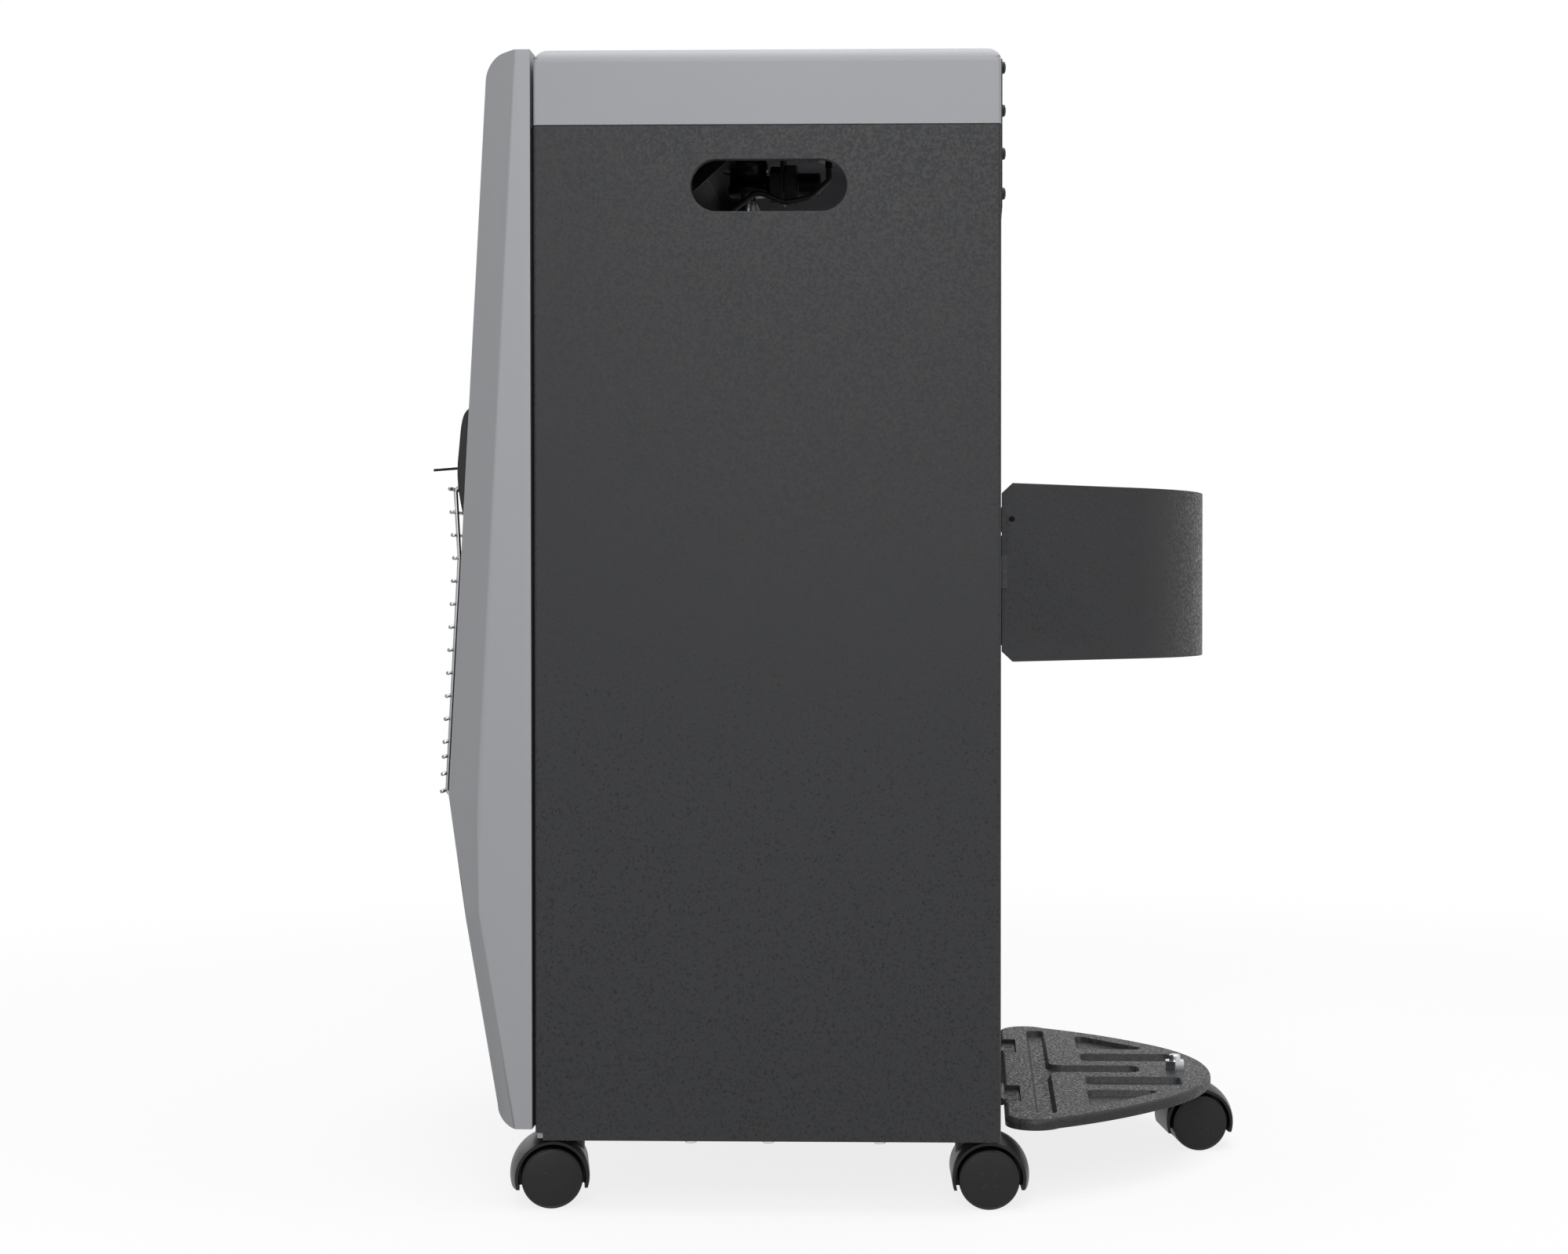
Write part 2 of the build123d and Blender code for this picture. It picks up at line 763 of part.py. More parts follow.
def deflector_visor():
    """The bright plate that turns the heat away from the casing, its front corners cut."""
    root = face_y(visor_z, visor_root)
    points = [
        (-opening_half, root),
        (opening_half, root),
        (opening_half, -visor_corner_reach),
        (visor_tip_half, -visor_reach),
        (-visor_tip_half, -visor_reach),
        (-opening_half, -visor_corner_reach),
    ]
    return prism(points, visor_sheet, Plane.XY.offset(visor_z - visor_sheet / 2))


def guard_heights():
    """The heights of the guard's cross wires, from the top down."""
    upper = [guard_top - guard_pitch * index for index in range(guard_cross_count)]
    lower = [guard_low_top - guard_low_pitch * index for index in range(guard_low_count)]
    return upper + lower


def guard_stand(z):
    """How far the guard's upright wires stand ahead of the shell's front at a height."""
    lean = (guard_top_offset - guard_offset) / (guard_top - guard_bend_z)
    return guard_offset + lean * max(0, z - guard_bend_z)


def wire_guard(bezel, shell):
    """A bright grille: uprights that lean out over the hood, crossed by level wires."""
    top = guard_top + guard_side_wire / 2
    low = guard_heights()[-1] - guard_cross_wire
    guard = None
    for x in (-guard_half_width, -guard_half_width / 2, 0, guard_half_width / 2, guard_half_width):
        inner = abs(x) < guard_half_width
        dia = guard_cross_wire if inner else guard_side_wire
        run = [(x, face_y(z, guard_stand(z)), z) for z in (top, guard_bend_z, low)]
        bends = [guard_bend_radius]
        if not inner:
            run = [(x, face_y(top, bezel_proud), top)] + run + [(x, face_y(low, -shell_sheet / 2), low)]
            bends = [guard_bend_radius] * 3
        upright = bent_tube(run, bends, dia)
        guard = upright if guard is None else guard + upright
    ahead = guard_side_wire / 2 + guard_cross_wire / 4
    reach = guard_half_width + guard_overhang
    for z in guard_heights():
        y = face_y(z, guard_stand(z) + ahead)
        guard += rod((-reach, y, z), (reach, y, z), guard_cross_wire)
    return guard - bezel - shell


def rectangle_at(half, low, high, y_of_z):
    """A four-cornered face across the heater whose lower and upper edges may lean apart."""
    corners = [
        (-half, y_of_z(low), low),
        (half, y_of_z(low), low),
        (half, y_of_z(high), high),
        (-half, y_of_z(high), high),
    ]
    return make_face(Polyline(*corners, close=True))


def burner_reflector():
    """The flared sheet funnel from the plaque frame out to the opening's edge."""
    def funnel(inset):
        rear = rectangle_at(field_half - inset, field_low + inset, field_high - inset, lambda z: frame_front)
        mouth = rectangle_at(opening_half - inset, opening_bottom + inset, opening_top - inset, face_y)
        return loft([rear, mouth], ruled=True)

    window = block(
        (pilot_x - pilot_spread - pilot_head_dia, pilot_x + pilot_spread + pilot_head_dia),
        (pilot_y - pilot_half_depth, pilot_y + pilot_half_depth),
        (pilot_foot - over, plaque_centre_z),
    )
    return funnel(0) - funnel(funnel_sheet) - window


def plaque_xs():
    """The middles of the ceramic plaques across the heater."""
    middle = (plaque_count - 1) / 2
    return [(index - middle) * plaque_pitch for index in range(plaque_count)]


def plaque():
    """One ceramic plaque, its radiant face scored across in rows."""
    tile = block(
        (-plaque_width / 2, plaque_width / 2),
        (plaque_front, plaque_front + plaque_thickness),
        (plaque_low, plaque_high),
    )
    face = Plane(origin=(0, plaque_front, plaque_centre_z), x_dir=(1, 0, 0), z_dir=(0, -1, 0))
    for row in range(1, plaque_rows):
        z = (row / plaque_rows - 1 / 2) * plaque_height
        score = Rectangle(plaque_width + over, plaque_groove)
        tile -= extrude(face * Pos(0, z) * score, -plaque_groove / 2)
    return tile


def plaque_frame():
    """The pressed frame that holds the plaques' edges against the burner."""
    frame = block((-field_half, field_half), (frame_front, plaque_front), (field_low, field_high))
    for x in plaque_xs():
        half = plaque_width / 2 - plaque_lip
        high = plaque_height / 2 - plaque_lip
        frame -= block(
            (x - half, x + half),
            (frame_front - over, plaque_front + over),
            (plaque_centre_z - high, plaque_centre_z + high),
        )
    return frame


def burner_body():
    """The cast box behind the plaques, with a gas space and a mixing tube for each."""
    back = plaque_front + burner_depth
    body = block((-field_half, field_half), (plaque_front, back), (field_low, field_high))
    for x in plaque_xs():
        centre = (x, venturi_y)
        tube = (field_low + over, plaque_centre_z + plaque_height / 4)
        body += rod((*centre, tube[0]), (*centre, tube[1]), venturi_dia)
    for x in plaque_xs():
        body -= block(
            (x - plaque_width / 2, x + plaque_width / 2),
            (plaque_front - over, plaque_front + plaque_thickness),
            (plaque_low, plaque_high),
        )
        half = plaque_width / 2 - plaque_lip
        high = plaque_height / 2 - plaque_lip
        body -= block(
            (x - half, x + half),
            (plaque_front, back - burner_wall),
            (plaque_centre_z - high, plaque_centre_z + high),
        )
        body -= rod((x, venturi_y, field_low - over), (x, venturi_y, plaque_centre_z), venturi_bore)
    return body


def burner_manifold():
    """The closed tube under the burner that feeds the injectors."""
    reach = plaque_xs()[-1] + manifold_end
    tube = rod((-reach, venturi_y, manifold_z), (reach, venturi_y, manifold_z), manifold_dia)
    for x in plaque_xs():
        tube += rod((x, venturi_y, manifold_z), (x, venturi_y, injector_z), manifold_dia - over)
    return tube


def injector(x):
    """One brass injector: a hexagon with a fine nozzle."""
    seat = Plane(origin=(x, venturi_y, injector_z))
    body = extrude(seat * RegularPolygon(injector_hex, 6), injector_hex_height)
    return body + extrude(seat * Circle(injector_dia / 2), injector_hex_height + injector_length)


def valve_bracket():
    """The angle under the well that carries the valve and clamps the gas inlet."""
    under = well_floor - cover_sheet
    half = valve_body_dia / 2 + bracket_margin
    across = (valve_x - half, valve_x + half)
    top = block(across, (valve_y - half, bracket_back), (valve_top, under))
    bracket = top + block(across, (bracket_y, bracket_back), (inlet_z - half + bracket_margin, under))
    bracket -= rod((valve_x, valve_y, valve_top - over), (valve_x, valve_y, under + over), spindle_hole)
    hole = inlet_dia + seat_gap
    return bracket - rod((valve_x, bracket_y - over, inlet_z), (valve_x, bracket_back + over, inlet_z), hole)


def gas_valve():
    """The valve: an upright brass body with rings round its neck and a branch to the inlet."""
    valve = rod((valve_x, valve_y, valve_bottom), (valve_x, valve_y, valve_top), valve_body_dia)
    for z in (valve_bottom, (valve_bottom + valve_top) / 2):
        ring = Plane.XY.offset(z) * RegularPolygon(valve_body_dia / 2 + valve_ring_step, 6)
        valve += Pos(valve_x, valve_y, 0) * extrude(ring, valve_ring_height)
    valve += rod((valve_x, valve_y, inlet_z), (valve_x, inlet_front, inlet_z), gas_pipe_dia + over)
    bore = spindle_dia + 2 * running_clearance
    return valve - rod((valve_x, valve_y, spindle_foot), (valve_x, valve_y, valve_top + over), bore)


def gas_inlet_fitting():
    """The inlet: a hexagon, a clamped shank, a relief and the thread that takes the hose nut."""
    shoulder = Plane(origin=(valve_x, inlet_front, inlet_z), z_dir=(0, 1, 0))
    fitting = extrude(shoulder * RegularPolygon(inlet_hex, 6), bracket_y - inlet_front)
    fitting += extrude(shoulder * Circle(inlet_dia / 2), locknut_back - inlet_front)
    fitting += extrude(shoulder * Circle(relief_dia / 2), thread_start - inlet_front)
    thread = rod((valve_x, thread_start, inlet_z), (valve_x, thread_end, inlet_z), inlet_dia)
    fitting += chamfer(thread.edges().group_by(Axis.Y)[-1], thread_chamfer)
    return fitting - rod((valve_x, bracket_back, inlet_z), (valve_x, thread_end + over, inlet_z), inlet_bore)


def inlet_locknut():
    """The hexagon nut that clamps the inlet to its bracket."""
    seat = Plane(origin=(valve_x, bracket_back, inlet_z), z_dir=(0, 1, 0))
    nut = extrude(seat * RegularPolygon(locknut_hex, 6), locknut_length)
    return nut - extrude(seat * Circle(inlet_dia / 2), locknut_length)


def burner_gas_pipe(manifold):
    """The pipe from the valve down the shield and forward into the manifold."""
    points = [
        (valve_x, valve_y, valve_bottom),
        (valve_x, valve_y, manifold_z),
        (valve_x, venturi_y, manifold_z),
    ]
    return bent_tube(points, gas_pipe_bend, gas_pipe_dia) - manifold


def valve_spindle():
    """The round spindle, from inside the valve to inside the knob."""
    top = knob_foot + knob_height - spindle_free
    return rod((valve_x, valve_y, spindle_foot + spindle_free), (valve_x, valve_y, top), spindle_dia)


def control_knob():
    """The knob, with finger flutes round its edge and a raised pointer bar."""
    foot = Pos(valve_x, valve_y, knob_foot)
    knob = foot * extrude(Circle(knob_dia / 2), knob_height, taper=3)
    knob = fillet(knob.edges().filter_by(GeomType.CIRCLE).group_by(Axis.Z)[-1], 2)
    flute = Pos(0, 0, spindle_free) * extrude(Circle(flute_dia / 2), knob_height)
    for spot in PolarLocations((knob_dia + flute_dia) / 2 - 2 * over, knob_flutes):
        knob -= foot * spot * flute
    pointer = block(
        (valve_x - over, valve_x + over),
        (valve_y - knob_dia / 2 + spindle_free, valve_y - spindle_dia / 2),
        (knob_foot + knob_height - over, knob_foot + knob_height + over),
    )
    return knob + pointer - valve_spindle()


def piezo_igniter():
    """The igniter's barrel through the well floor, with a collar and a terminal below."""
    centre = (piezo_x, piezo_y)
    collar_top = well_floor + collar_height
    body = rod((*centre, well_floor - piezo_drop), (*centre, well_floor), piezo_dia)
    body += rod((*centre, well_floor), (*centre, collar_top), piezo_dia + 2 * collar_step)
    body += rod((*centre, lead_top_z), (*centre, well_floor - piezo_drop), terminal_dia)
    bore = button_dia + 2 * running_clearance
    return body - rod((*centre, button_seat), (*centre, collar_top + over), bore)


def piezo_button():
    """The igniter's push button, domed on top, standing above its collar at rest."""
    centre = (piezo_x, piezo_y)
    top = well_floor + collar_height + button_height
    button = rod((*centre, button_seat + button_travel + over), (*centre, top), button_dia)
    return fillet(button.edges().group_by(Axis.Z)[-1], button_dia / 8)


def pilot_bracket():
    """The small angle under the burner that holds the pilot, electrode and flame sensor."""
    reach = pilot_spread + pilot_dia
    across = (pilot_x - reach, pilot_x + reach)
    shelf = block(across, (pilot_y - pilot_half_depth, pilot_back), (pilot_foot, pilot_shelf_z))
    bracket = shelf + block(across, (pilot_back - pilot_sheet, pilot_back), (pilot_foot, field_low))
    for x in (pilot_x - pilot_spread, pilot_x, pilot_x + pilot_spread):
        bracket -= rod((x, pilot_y, pilot_foot - over), (x, pilot_y, pilot_shelf_z + over), pilot_dia)
    return bracket


def pilot_burner():
    """The pilot's tube with its hooded head, and the nut under its shelf."""
    low = pilot_foot - probe_foot
    head = pilot_top - sensor_dia
    pilot = rod((pilot_x, pilot_y, low), (pilot_x, pilot_y, pilot_foot), pilot_nut_dia)
    pilot += rod((pilot_x, pilot_y, low), (pilot_x, pilot_y, head), pilot_dia)
    return pilot + rod((pilot_x, pilot_y, head), (pilot_x, pilot_y, pilot_top), pilot_head_dia)


def probe(x, tip_dia, rise):
    """An upright probe through the pilot shelf with a thinner tip."""
    shoulder = pilot_shelf_z + rise
    body = rod((x, pilot_y, pilot_foot - probe_foot), (x, pilot_y, shoulder), probe_dia)
    return body + rod((x, pilot_y, shoulder), (x, pilot_y, pilot_top + over), tip_dia)


def under_burner_run(x, low_z, target_x):
    """The points of a lead from the shield's hole down and forward to the pilot shelf."""
    return [
        (x, shield_y - lead_stand, lead_pass_z),
        (x, shield_y - lead_stand, low_z),
        (target_x, pilot_y, low_z),
        (target_x, pilot_y, pilot_foot - probe_foot),
    ]


def ignition_lead():
    """The insulated lead, drooping from the igniter and then held along the shield."""
    beside, low_z, dia = ignition_route
    x = valve_x + beside
    droop = [(valve_x + lead_droop_x, valve_y + back, inlet_z - drop) for back, drop in lead_drops]
    turn_y = valve_y + lead_turn_back
    points = [
        (piezo_x, piezo_y, lead_top_z),
        (piezo_x, piezo_y, inlet_z - over),
        *droop,
        (x, turn_y, inlet_z - lead_turn_drop),
        (x, turn_y, lead_pass_z),
        *under_burner_run(x, low_z, pilot_x + pilot_spread),
    ]
    return bent_tube(points, lead_bends + run_bends, dia)


def valve_tube(route, start_z, target_x):
    """A thin metal tube from the valve's side through the shield to the pilot shelf."""
    beside, low_z, dia = route
    x = valve_x + beside
    points = [
        (valve_x - valve_body_dia / 2 + over, valve_y, start_z),
        (x, valve_y, start_z),
        (x, valve_y, lead_pass_z),
        *under_burner_run(x, low_z, target_x),
    ]
    return bent_tube(points, tube_bends + run_bends, dia)


def hood_outline():
    """Half of a hood's section through the axle: a dome that falls towards its rims."""
    rims = ((-hood_half_width, hood_rim_radius), (hood_half_width, hood_rim_radius))
    crown = ThreePointArc(rims[0], (0, hood_radius), rims[1])
    base = Polyline(rims[1], (hood_half_width, 0), (-hood_half_width, 0), rims[0])
    return make_face([crown, base])


def caster_hood(side):
    """A swivelling hood on its own stem axis: dome, middle web, stem boss and wheel spaces."""
    y = side * swivel_trail
    dome = Pos(0, y, wheel_radius) * revolve(hood_outline(), Axis.X)
    skin = (y + side * hood_skin_ahead, wheel_radius + hood_skin_rise)
    dome &= rod((-hood_radius, *skin), (hood_radius, *skin), 2 * hood_skin_radius)
    wide = (-hood_radius, hood_radius)
    hood = dome & block(wide, (-2 * hood_radius, 2 * hood_radius), (hood_lip_z, 2 * hood_radius))
    hood += rod((0, 0, wheel_radius), (0, 0, swivel_top), swivel_boss_dia)
    for end in (-1, 1):
        inner = (end * web_half, y, wheel_radius)
        outer = (end * hood_radius, y, wheel_radius)
        hood -= rod(inner, outer, wheel_dia + 2 * hood_clearance)
    hood -= rod((0, 0, stem_foot), (0, 0, swivel_top + over), stem_dia + 2 * running_clearance)
    ends = ((-hood_radius, y, wheel_radius), (hood_radius, y, wheel_radius))
    return hood - rod(*ends, axle_dia + 2 * running_clearance)


def caster_wheel(end):
    """One wheel of a pair, smooth-faced, with a rounded tread."""
    inner = web_half + wheel_web_gap
    wheel = rod((inner, 0, 0), (caster_width / 2, 0, 0), wheel_dia)
    wheel = fillet(wheel.edges().filter_by(GeomType.CIRCLE), wheel_edge)
    wheel -= rod((0, 0, 0), (axle_half, 0, 0), axle_dia)
    return wheel if end > 0 else mirrored(wheel)


def caster_wheels(side):
    """The pair of wheels of one caster, in place on its axle."""
    axle = Pos(0, side * swivel_trail, wheel_radius)
    return [axle * caster_wheel(end) for end in (-1, 1)]


def caster_axle(side):
    """The steel axle that both wheels of a caster are pressed on."""
    y = side * swivel_trail
    return rod((-axle_half, y, wheel_radius), (axle_half, y, wheel_radius), axle_dia)


def caster_stem():
    """The fixed stem that a caster swivels on: shank, collar and threaded end."""
    stem = rod((0, 0, stem_foot + seat_gap), (0, 0, stem_length), stem_dia)
    stem = chamfer(stem.edges().group_by(Axis.Z)[-1], stem_chamfer)
    return stem + rod((0, 0, swivel_top + 2 * running_clearance), (0, 0, floor_under), stem_collar_dia)


def caster_nut():
    """The hexagon nut on a stem's threaded end, resting on the floor sheet."""
    across = hex_nut_flats / 2 / cos(pi / 6)
    nut = extrude(Plane.XY.offset(floor_top) * RegularPolygon(across, 6), hex_nut_height)
    return nut - rod((0, 0, floor_top - over), (0, 0, floor_top + 2 * hex_nut_height), stem_dia)


def shelf_outline(inset):
    """The shelf's plan: a straight front edge and arcs round to its tip."""
    right = [(shelf_half_width - side, cabinet_depth + back) for side, back in shelf_curve]
    left = [(-x, y) for x, y in reversed(right)]
    tip = ThreePointArc(right[-1], (0, cabinet_depth + shelf_tip_back), left[0])
    arcs = [ThreePointArc(*side[first:first + 3]) for side in (right, left) for first in (0, 2)]
    face = make_face([*arcs[:2], tip, *arcs[2:], Line(left[-1], right[0])])
    return offset(face, -inset) if inset else face


def recess_shapes():
    """The plan of the shelf's pressed recesses: a T in the middle and two on either side."""
    bar, stem, plain = [
        Pos(0, cabinet_depth + back) * RectangleRounded(wide, deep, corner)
        for wide, deep, corner, back in (tee_bar, tee_stem, side_recess)
    ]
    shapes = [bar + stem]
    for side in (-1, 1):
        shapes.append(Pos(side * side_recess_x, 0) * plain)
        wing = [(side * x, cabinet_depth + back) for x, back in wing_recess]
        shapes.append(fillet(make_face(Polyline(*wing, close=True)).vertices(), wing_corner))
    return shapes


def rear_shelf():
    """The fold-out shelf behind the floor: a pressed sheet with a turned-down rim."""
    low = floor_top - shelf_rim
    tray = extrude(Plane.XY.offset(low) * shelf_outline(0), shelf_rim)
    tray = fillet(tray.edges().group_by(Axis.Z)[-1], shelf_edge_radius)
    hollow = extrude(Plane.XY.offset(low - over) * shelf_outline(floor_sheet), floor_under - low + over)
    tray -= hollow
    recess_floor = floor_top - recess_depth
    for shape in recess_shapes():
        grown = offset(shape, floor_sheet)
        tray += extrude(Plane.XY.offset(recess_floor - floor_sheet) * grown, recess_depth)
        tray -= extrude(Plane.XY.offset(recess_floor) * shape, recess_depth + over)
    deep = (shelf_front_y, shelf_front_y + hinge_recess_depth)
    for x in (-hinge_outer_x, hinge_inner_x):
        across = (x, x + hinge_width)
        wide = (across[0] - floor_sheet, across[1] + floor_sheet)
        tray += block(wide, (deep[0], deep[1] + floor_sheet), (recess_floor - floor_sheet, floor_under))
        tray -= block(across, (deep[0] - over, deep[1]), (recess_floor, floor_top + over))
    return tray - rod((0, shelf_stem_y, 0), (0, shelf_stem_y, floor_top + over), stem_dia)


def hinge_span(side):
    """Where one hinge starts across the heater, and how wide its leaves are."""
    wide = hinge_width - 2 * over
    return side * (hinge_outer_x + hinge_inner_x) / 2 - wide / 2, wide


def hinge_leaf(side, fixed):
    """One leaf: a flat plate in its recess, curled round the pin on its own knuckles."""
    first, wide = hinge_span(side)
    third = wide / 3
    leaf_floor = floor_top - recess_depth
    reach = hinge_recess_depth + shelf_gap / 2 - leaf_clearance
    away = -1 if fixed else 1
    near, far = sorted((hinge_y + away * leaf_setback, hinge_y + away * reach))
    leaf = block((first, first + wide), (near, far), (leaf_floor, leaf_floor + leaf_sheet))
    spans = [(0, third), (2 * third, wide)] if fixed else [(third + knuckle_gap, 2 * third - knuckle_gap)]
    barrel_low = hinge_z - hinge_knuckle_dia / 2
    for low, high in spans:
        across = (first + low, first + high)
        leaf += rod((across[0], hinge_y, hinge_z), (across[1], hinge_y, hinge_z), hinge_knuckle_dia)
        web = sorted((hinge_y, hinge_y + away * (leaf_setback + leaf_sheet)))
        leaf += block(across, web, (barrel_low, barrel_low + leaf_sheet))
        riser = sorted((hinge_y + away * leaf_setback, hinge_y + away * (leaf_setback + leaf_sheet)))
        leaf += block(across, riser, (leaf_floor, barrel_low + leaf_sheet))
    middle = hinge_y + away * (reach + leaf_setback) / 2
    slot = Rectangle(*leaf_slot)
    for x in (first + third, first + 2 * third):
        leaf -= Pos(x, middle, leaf_floor - over) * extrude(slot, leaf_sheet + 2 * over)
    bore = hinge_pin_dia if fixed else hinge_pin_dia + 2 * running_clearance
    return leaf - rod((first - over, hinge_y, hinge_z), (first + wide + over, hinge_y, hinge_z), bore)


def hinge_pin(side):
    """The pin through one hinge's knuckles."""
    first, wide = hinge_span(side)
    return rod((first, hinge_y, hinge_z), (first + wide, hinge_y, hinge_z), hinge_pin_dia)


def strap_band(radius, shift):
    """The plan of one face of the strap, two straight runs tangent to an arc."""
    centre_y = strap_apex_y - strap_radius
    end = (strap_end_x - shift, cabinet_depth + strap_end_gap)
    span = hypot(end[0], end[1] - centre_y)
    angle = atan2(end[1] - centre_y, end[0]) + acos(radius / span)
    tangent = (radius * cos(angle), centre_y + radius * sin(angle))
    return end, tangent, (0, centre_y + radius)


def bottle_strap():
    """The strap round the bottle: a bent band with clipped corners and two hooked tabs."""
    outer = strap_band(strap_radius, 0)
    inner = strap_band(strap_radius - strap_sheet, strap_sheet)
    edges = []
    for end, tangent, apex in (outer, inner):
        flipped = [(-tangent[0], tangent[1]), (-end[0], end[1])]
        edges.append(Line(end, tangent))
        edges.append(ThreePointArc(tangent, apex, flipped[0]))
        edges.append(Line(*flipped))
    for side in (1, -1):
        edges.append(Line((side * outer[0][0], outer[0][1]), (side * inner[0][0], inner[0][1])))
    band = extrude(Plane.XY.offset(strap_bottom) * make_face(edges), strap_top - strap_bottom)
    edge_y = cabinet_depth + strap_end_gap
    for z, away in ((strap_bottom, 1), (strap_top, -1)):
        corner = [(edge_y, z), (edge_y + strap_corner_y, z), (edge_y, z + away * strap_corner_z)]
        band -= prism(corner, cabinet_width, Plane.YZ.offset(-half_width))
    ends = ((-half_width, strap_hole_y, strap_hole_z), (half_width, strap_hole_y, strap_hole_z))
    band -= rod(*ends, strap_hole_dia)
    hook = [
        (edge_y + over, tab_bottom),
        (edge_y + over, tab_bottom + tab_height),
        (edge_y - hook_reach, tab_bottom + tab_height),
        (edge_y - hook_reach, tab_bottom - hook_drop),
        (cabinet_depth - panel_sheet - seat_gap, tab_bottom - hook_drop),
        (cabinet_depth - panel_sheet - seat_gap, tab_bottom),
    ]
    for x in (strap_end_x - strap_sheet, -strap_end_x):
        band += prism(hook, strap_sheet, Plane.YZ.offset(x))
    return band


os.makedirs("parts", exist_ok=True)
cabinet_pieces()
save("heat_shield", heat_shield())
save("cross_rail", cross_rail())
shell = front_shell()
bezel = front_bezel()
save("front_shell", shell)
save("front_seal_strips", *gasket_strips())
save("front_bezel", bezel)
save("deflector_visor", deflector_visor() - bezel)
save("wire_guard", wire_guard(bezel, shell))

save("burner_reflector", burner_reflector())
save("ceramic_plaques", *[Pos(x, 0, 0) * plaque() for x in plaque_xs()])
save("plaque_frame", plaque_frame())
save("burner_body", burner_body())
save("burner_manifold", burner_manifold())
save("injectors", *[injector(x) for x in plaque_xs()])
save("pilot_bracket", pilot_bracket())
save("pilot_burner", pilot_burner())
save("ignition_electrode", probe(pilot_x + pilot_spread, electrode_dia, pilot_head_dia))

valve = gas_valve()
save("gas_valve", valve)
save("valve_bracket", valve_bracket())
save("gas_inlet_fitting", gas_inlet_fitting())
save("inlet_locknut", inlet_locknut())
save("burner_gas_pipe", burner_gas_pipe(burner_manifold()))
save("valve_spindle", valve_spindle())
save("control_knob", control_knob())
save("piezo_igniter", piezo_igniter())
save("piezo_button", piezo_button())
save("ignition_lead", ignition_lead())
save("pilot_pipe", valve_tube(pilot_route, inlet_z + sensor_dia, pilot_x) - valve)
sensor = probe(pilot_x - pilot_spread, sensor_dia, sensor_dia)
sensor += valve_tube(sensor_route, valve_top - valve_ring_height, pilot_x - pilot_spread) - valve
save("thermocouple", sensor)

for name, x, y, side, turn in [*base_stems, shelf_caster]:
    place = Pos(x, y, 0) * Rot(0, 0, turn)
    save(f"{name}_caster_hood", place * caster_hood(side))
    save(f"{name}_caster_wheels", *[place * wheel for wheel in caster_wheels(side)])
    save(f"{name}_caster_axle", place * caster_axle(side))
save("base_caster_stems", *[Pos(x, y, 0) * caster_stem() for _, x, y, _, _ in base_stems])
save("base_caster_nuts", *[Pos(x, y, 0) * caster_nut() for _, x, y, _, _ in base_stems])
save("shelf_caster_stem", Pos(0, shelf_stem_y, 0) * caster_stem())
save("shelf_caster_nut", Pos(0, shelf_stem_y, 0) * caster_nut())

save("rear_shelf", rear_shelf())
save("hinge_base_leaves", hinge_leaf(-1, True), hinge_leaf(1, True))
save("hinge_shelf_leaves", hinge_leaf(-1, False), hinge_leaf(1, False))
save("hinge_pins", hinge_pin(-1), hinge_pin(1))
save("bottle_strap", bottle_strap())
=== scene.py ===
import bmesh
import bpy
import json
import math
from mathutils import Matrix, Vector


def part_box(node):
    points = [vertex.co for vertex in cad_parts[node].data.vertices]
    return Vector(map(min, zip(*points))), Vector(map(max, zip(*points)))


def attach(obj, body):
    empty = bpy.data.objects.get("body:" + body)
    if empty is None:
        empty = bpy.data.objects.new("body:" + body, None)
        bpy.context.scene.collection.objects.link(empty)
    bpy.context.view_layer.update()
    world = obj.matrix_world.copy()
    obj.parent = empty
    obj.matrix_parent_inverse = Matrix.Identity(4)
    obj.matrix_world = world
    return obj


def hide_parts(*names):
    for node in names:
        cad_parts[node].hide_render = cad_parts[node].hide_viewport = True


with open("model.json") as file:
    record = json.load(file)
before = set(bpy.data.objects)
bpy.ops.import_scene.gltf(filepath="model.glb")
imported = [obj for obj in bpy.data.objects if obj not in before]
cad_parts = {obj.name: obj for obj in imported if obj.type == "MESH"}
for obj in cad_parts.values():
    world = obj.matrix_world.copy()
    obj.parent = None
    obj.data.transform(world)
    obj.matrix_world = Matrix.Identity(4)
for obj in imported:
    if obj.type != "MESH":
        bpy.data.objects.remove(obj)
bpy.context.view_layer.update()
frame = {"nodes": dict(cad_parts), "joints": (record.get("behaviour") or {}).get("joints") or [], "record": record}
mm = 0.001
weld = 0.004 * mm  # corners closer than this are one corner
nodeSlot = {part["node"]: part["material_slot"] for part in frame["record"]["subparts"]}
bodyOf = {}
for body, members in frame["record"]["behaviour"]["bodies"].items():
    for member in members:
        bodyOf[member] = body
jointOf = {joint["name"]: joint for joint in frame["joints"]}
print("frame loaded:", len(nodeSlot), "nodes")


# ---- shared shader groups

def makeGroup(name, inputs, outputs):
    group = bpy.data.node_groups.new(name, "ShaderNodeTree")
    for label, kind, value in inputs:
        socket = group.interface.new_socket(label, in_out="INPUT", socket_type=kind)
        socket.default_value = value
    for label, kind in outputs:
        group.interface.new_socket(label, in_out="OUTPUT", socket_type=kind)
    return group, group.nodes.new("NodeGroupInput"), group.nodes.new("NodeGroupOutput")


def addNode(tree, kind, settings=None, **inputs):
    node = tree.nodes.new(kind)
    for key, value in (settings or {}).items():
        setattr(node, key, value)
    for key, value in inputs.items():
        node.inputs[key.replace("_", " ")].default_value = value
    return node


def addMath(tree, operation, first, second=None, clamp=False):
    node = tree.nodes.new("ShaderNodeMath")
    node.operation = operation
    node.use_clamp = clamp
    for index, value in enumerate((first, second)):
        if value is None:
            continue
        if isinstance(value, (int, float)):
            node.inputs[index].default_value = value
        else:
            tree.links.new(value, node.inputs[index])
    return node.outputs[0]


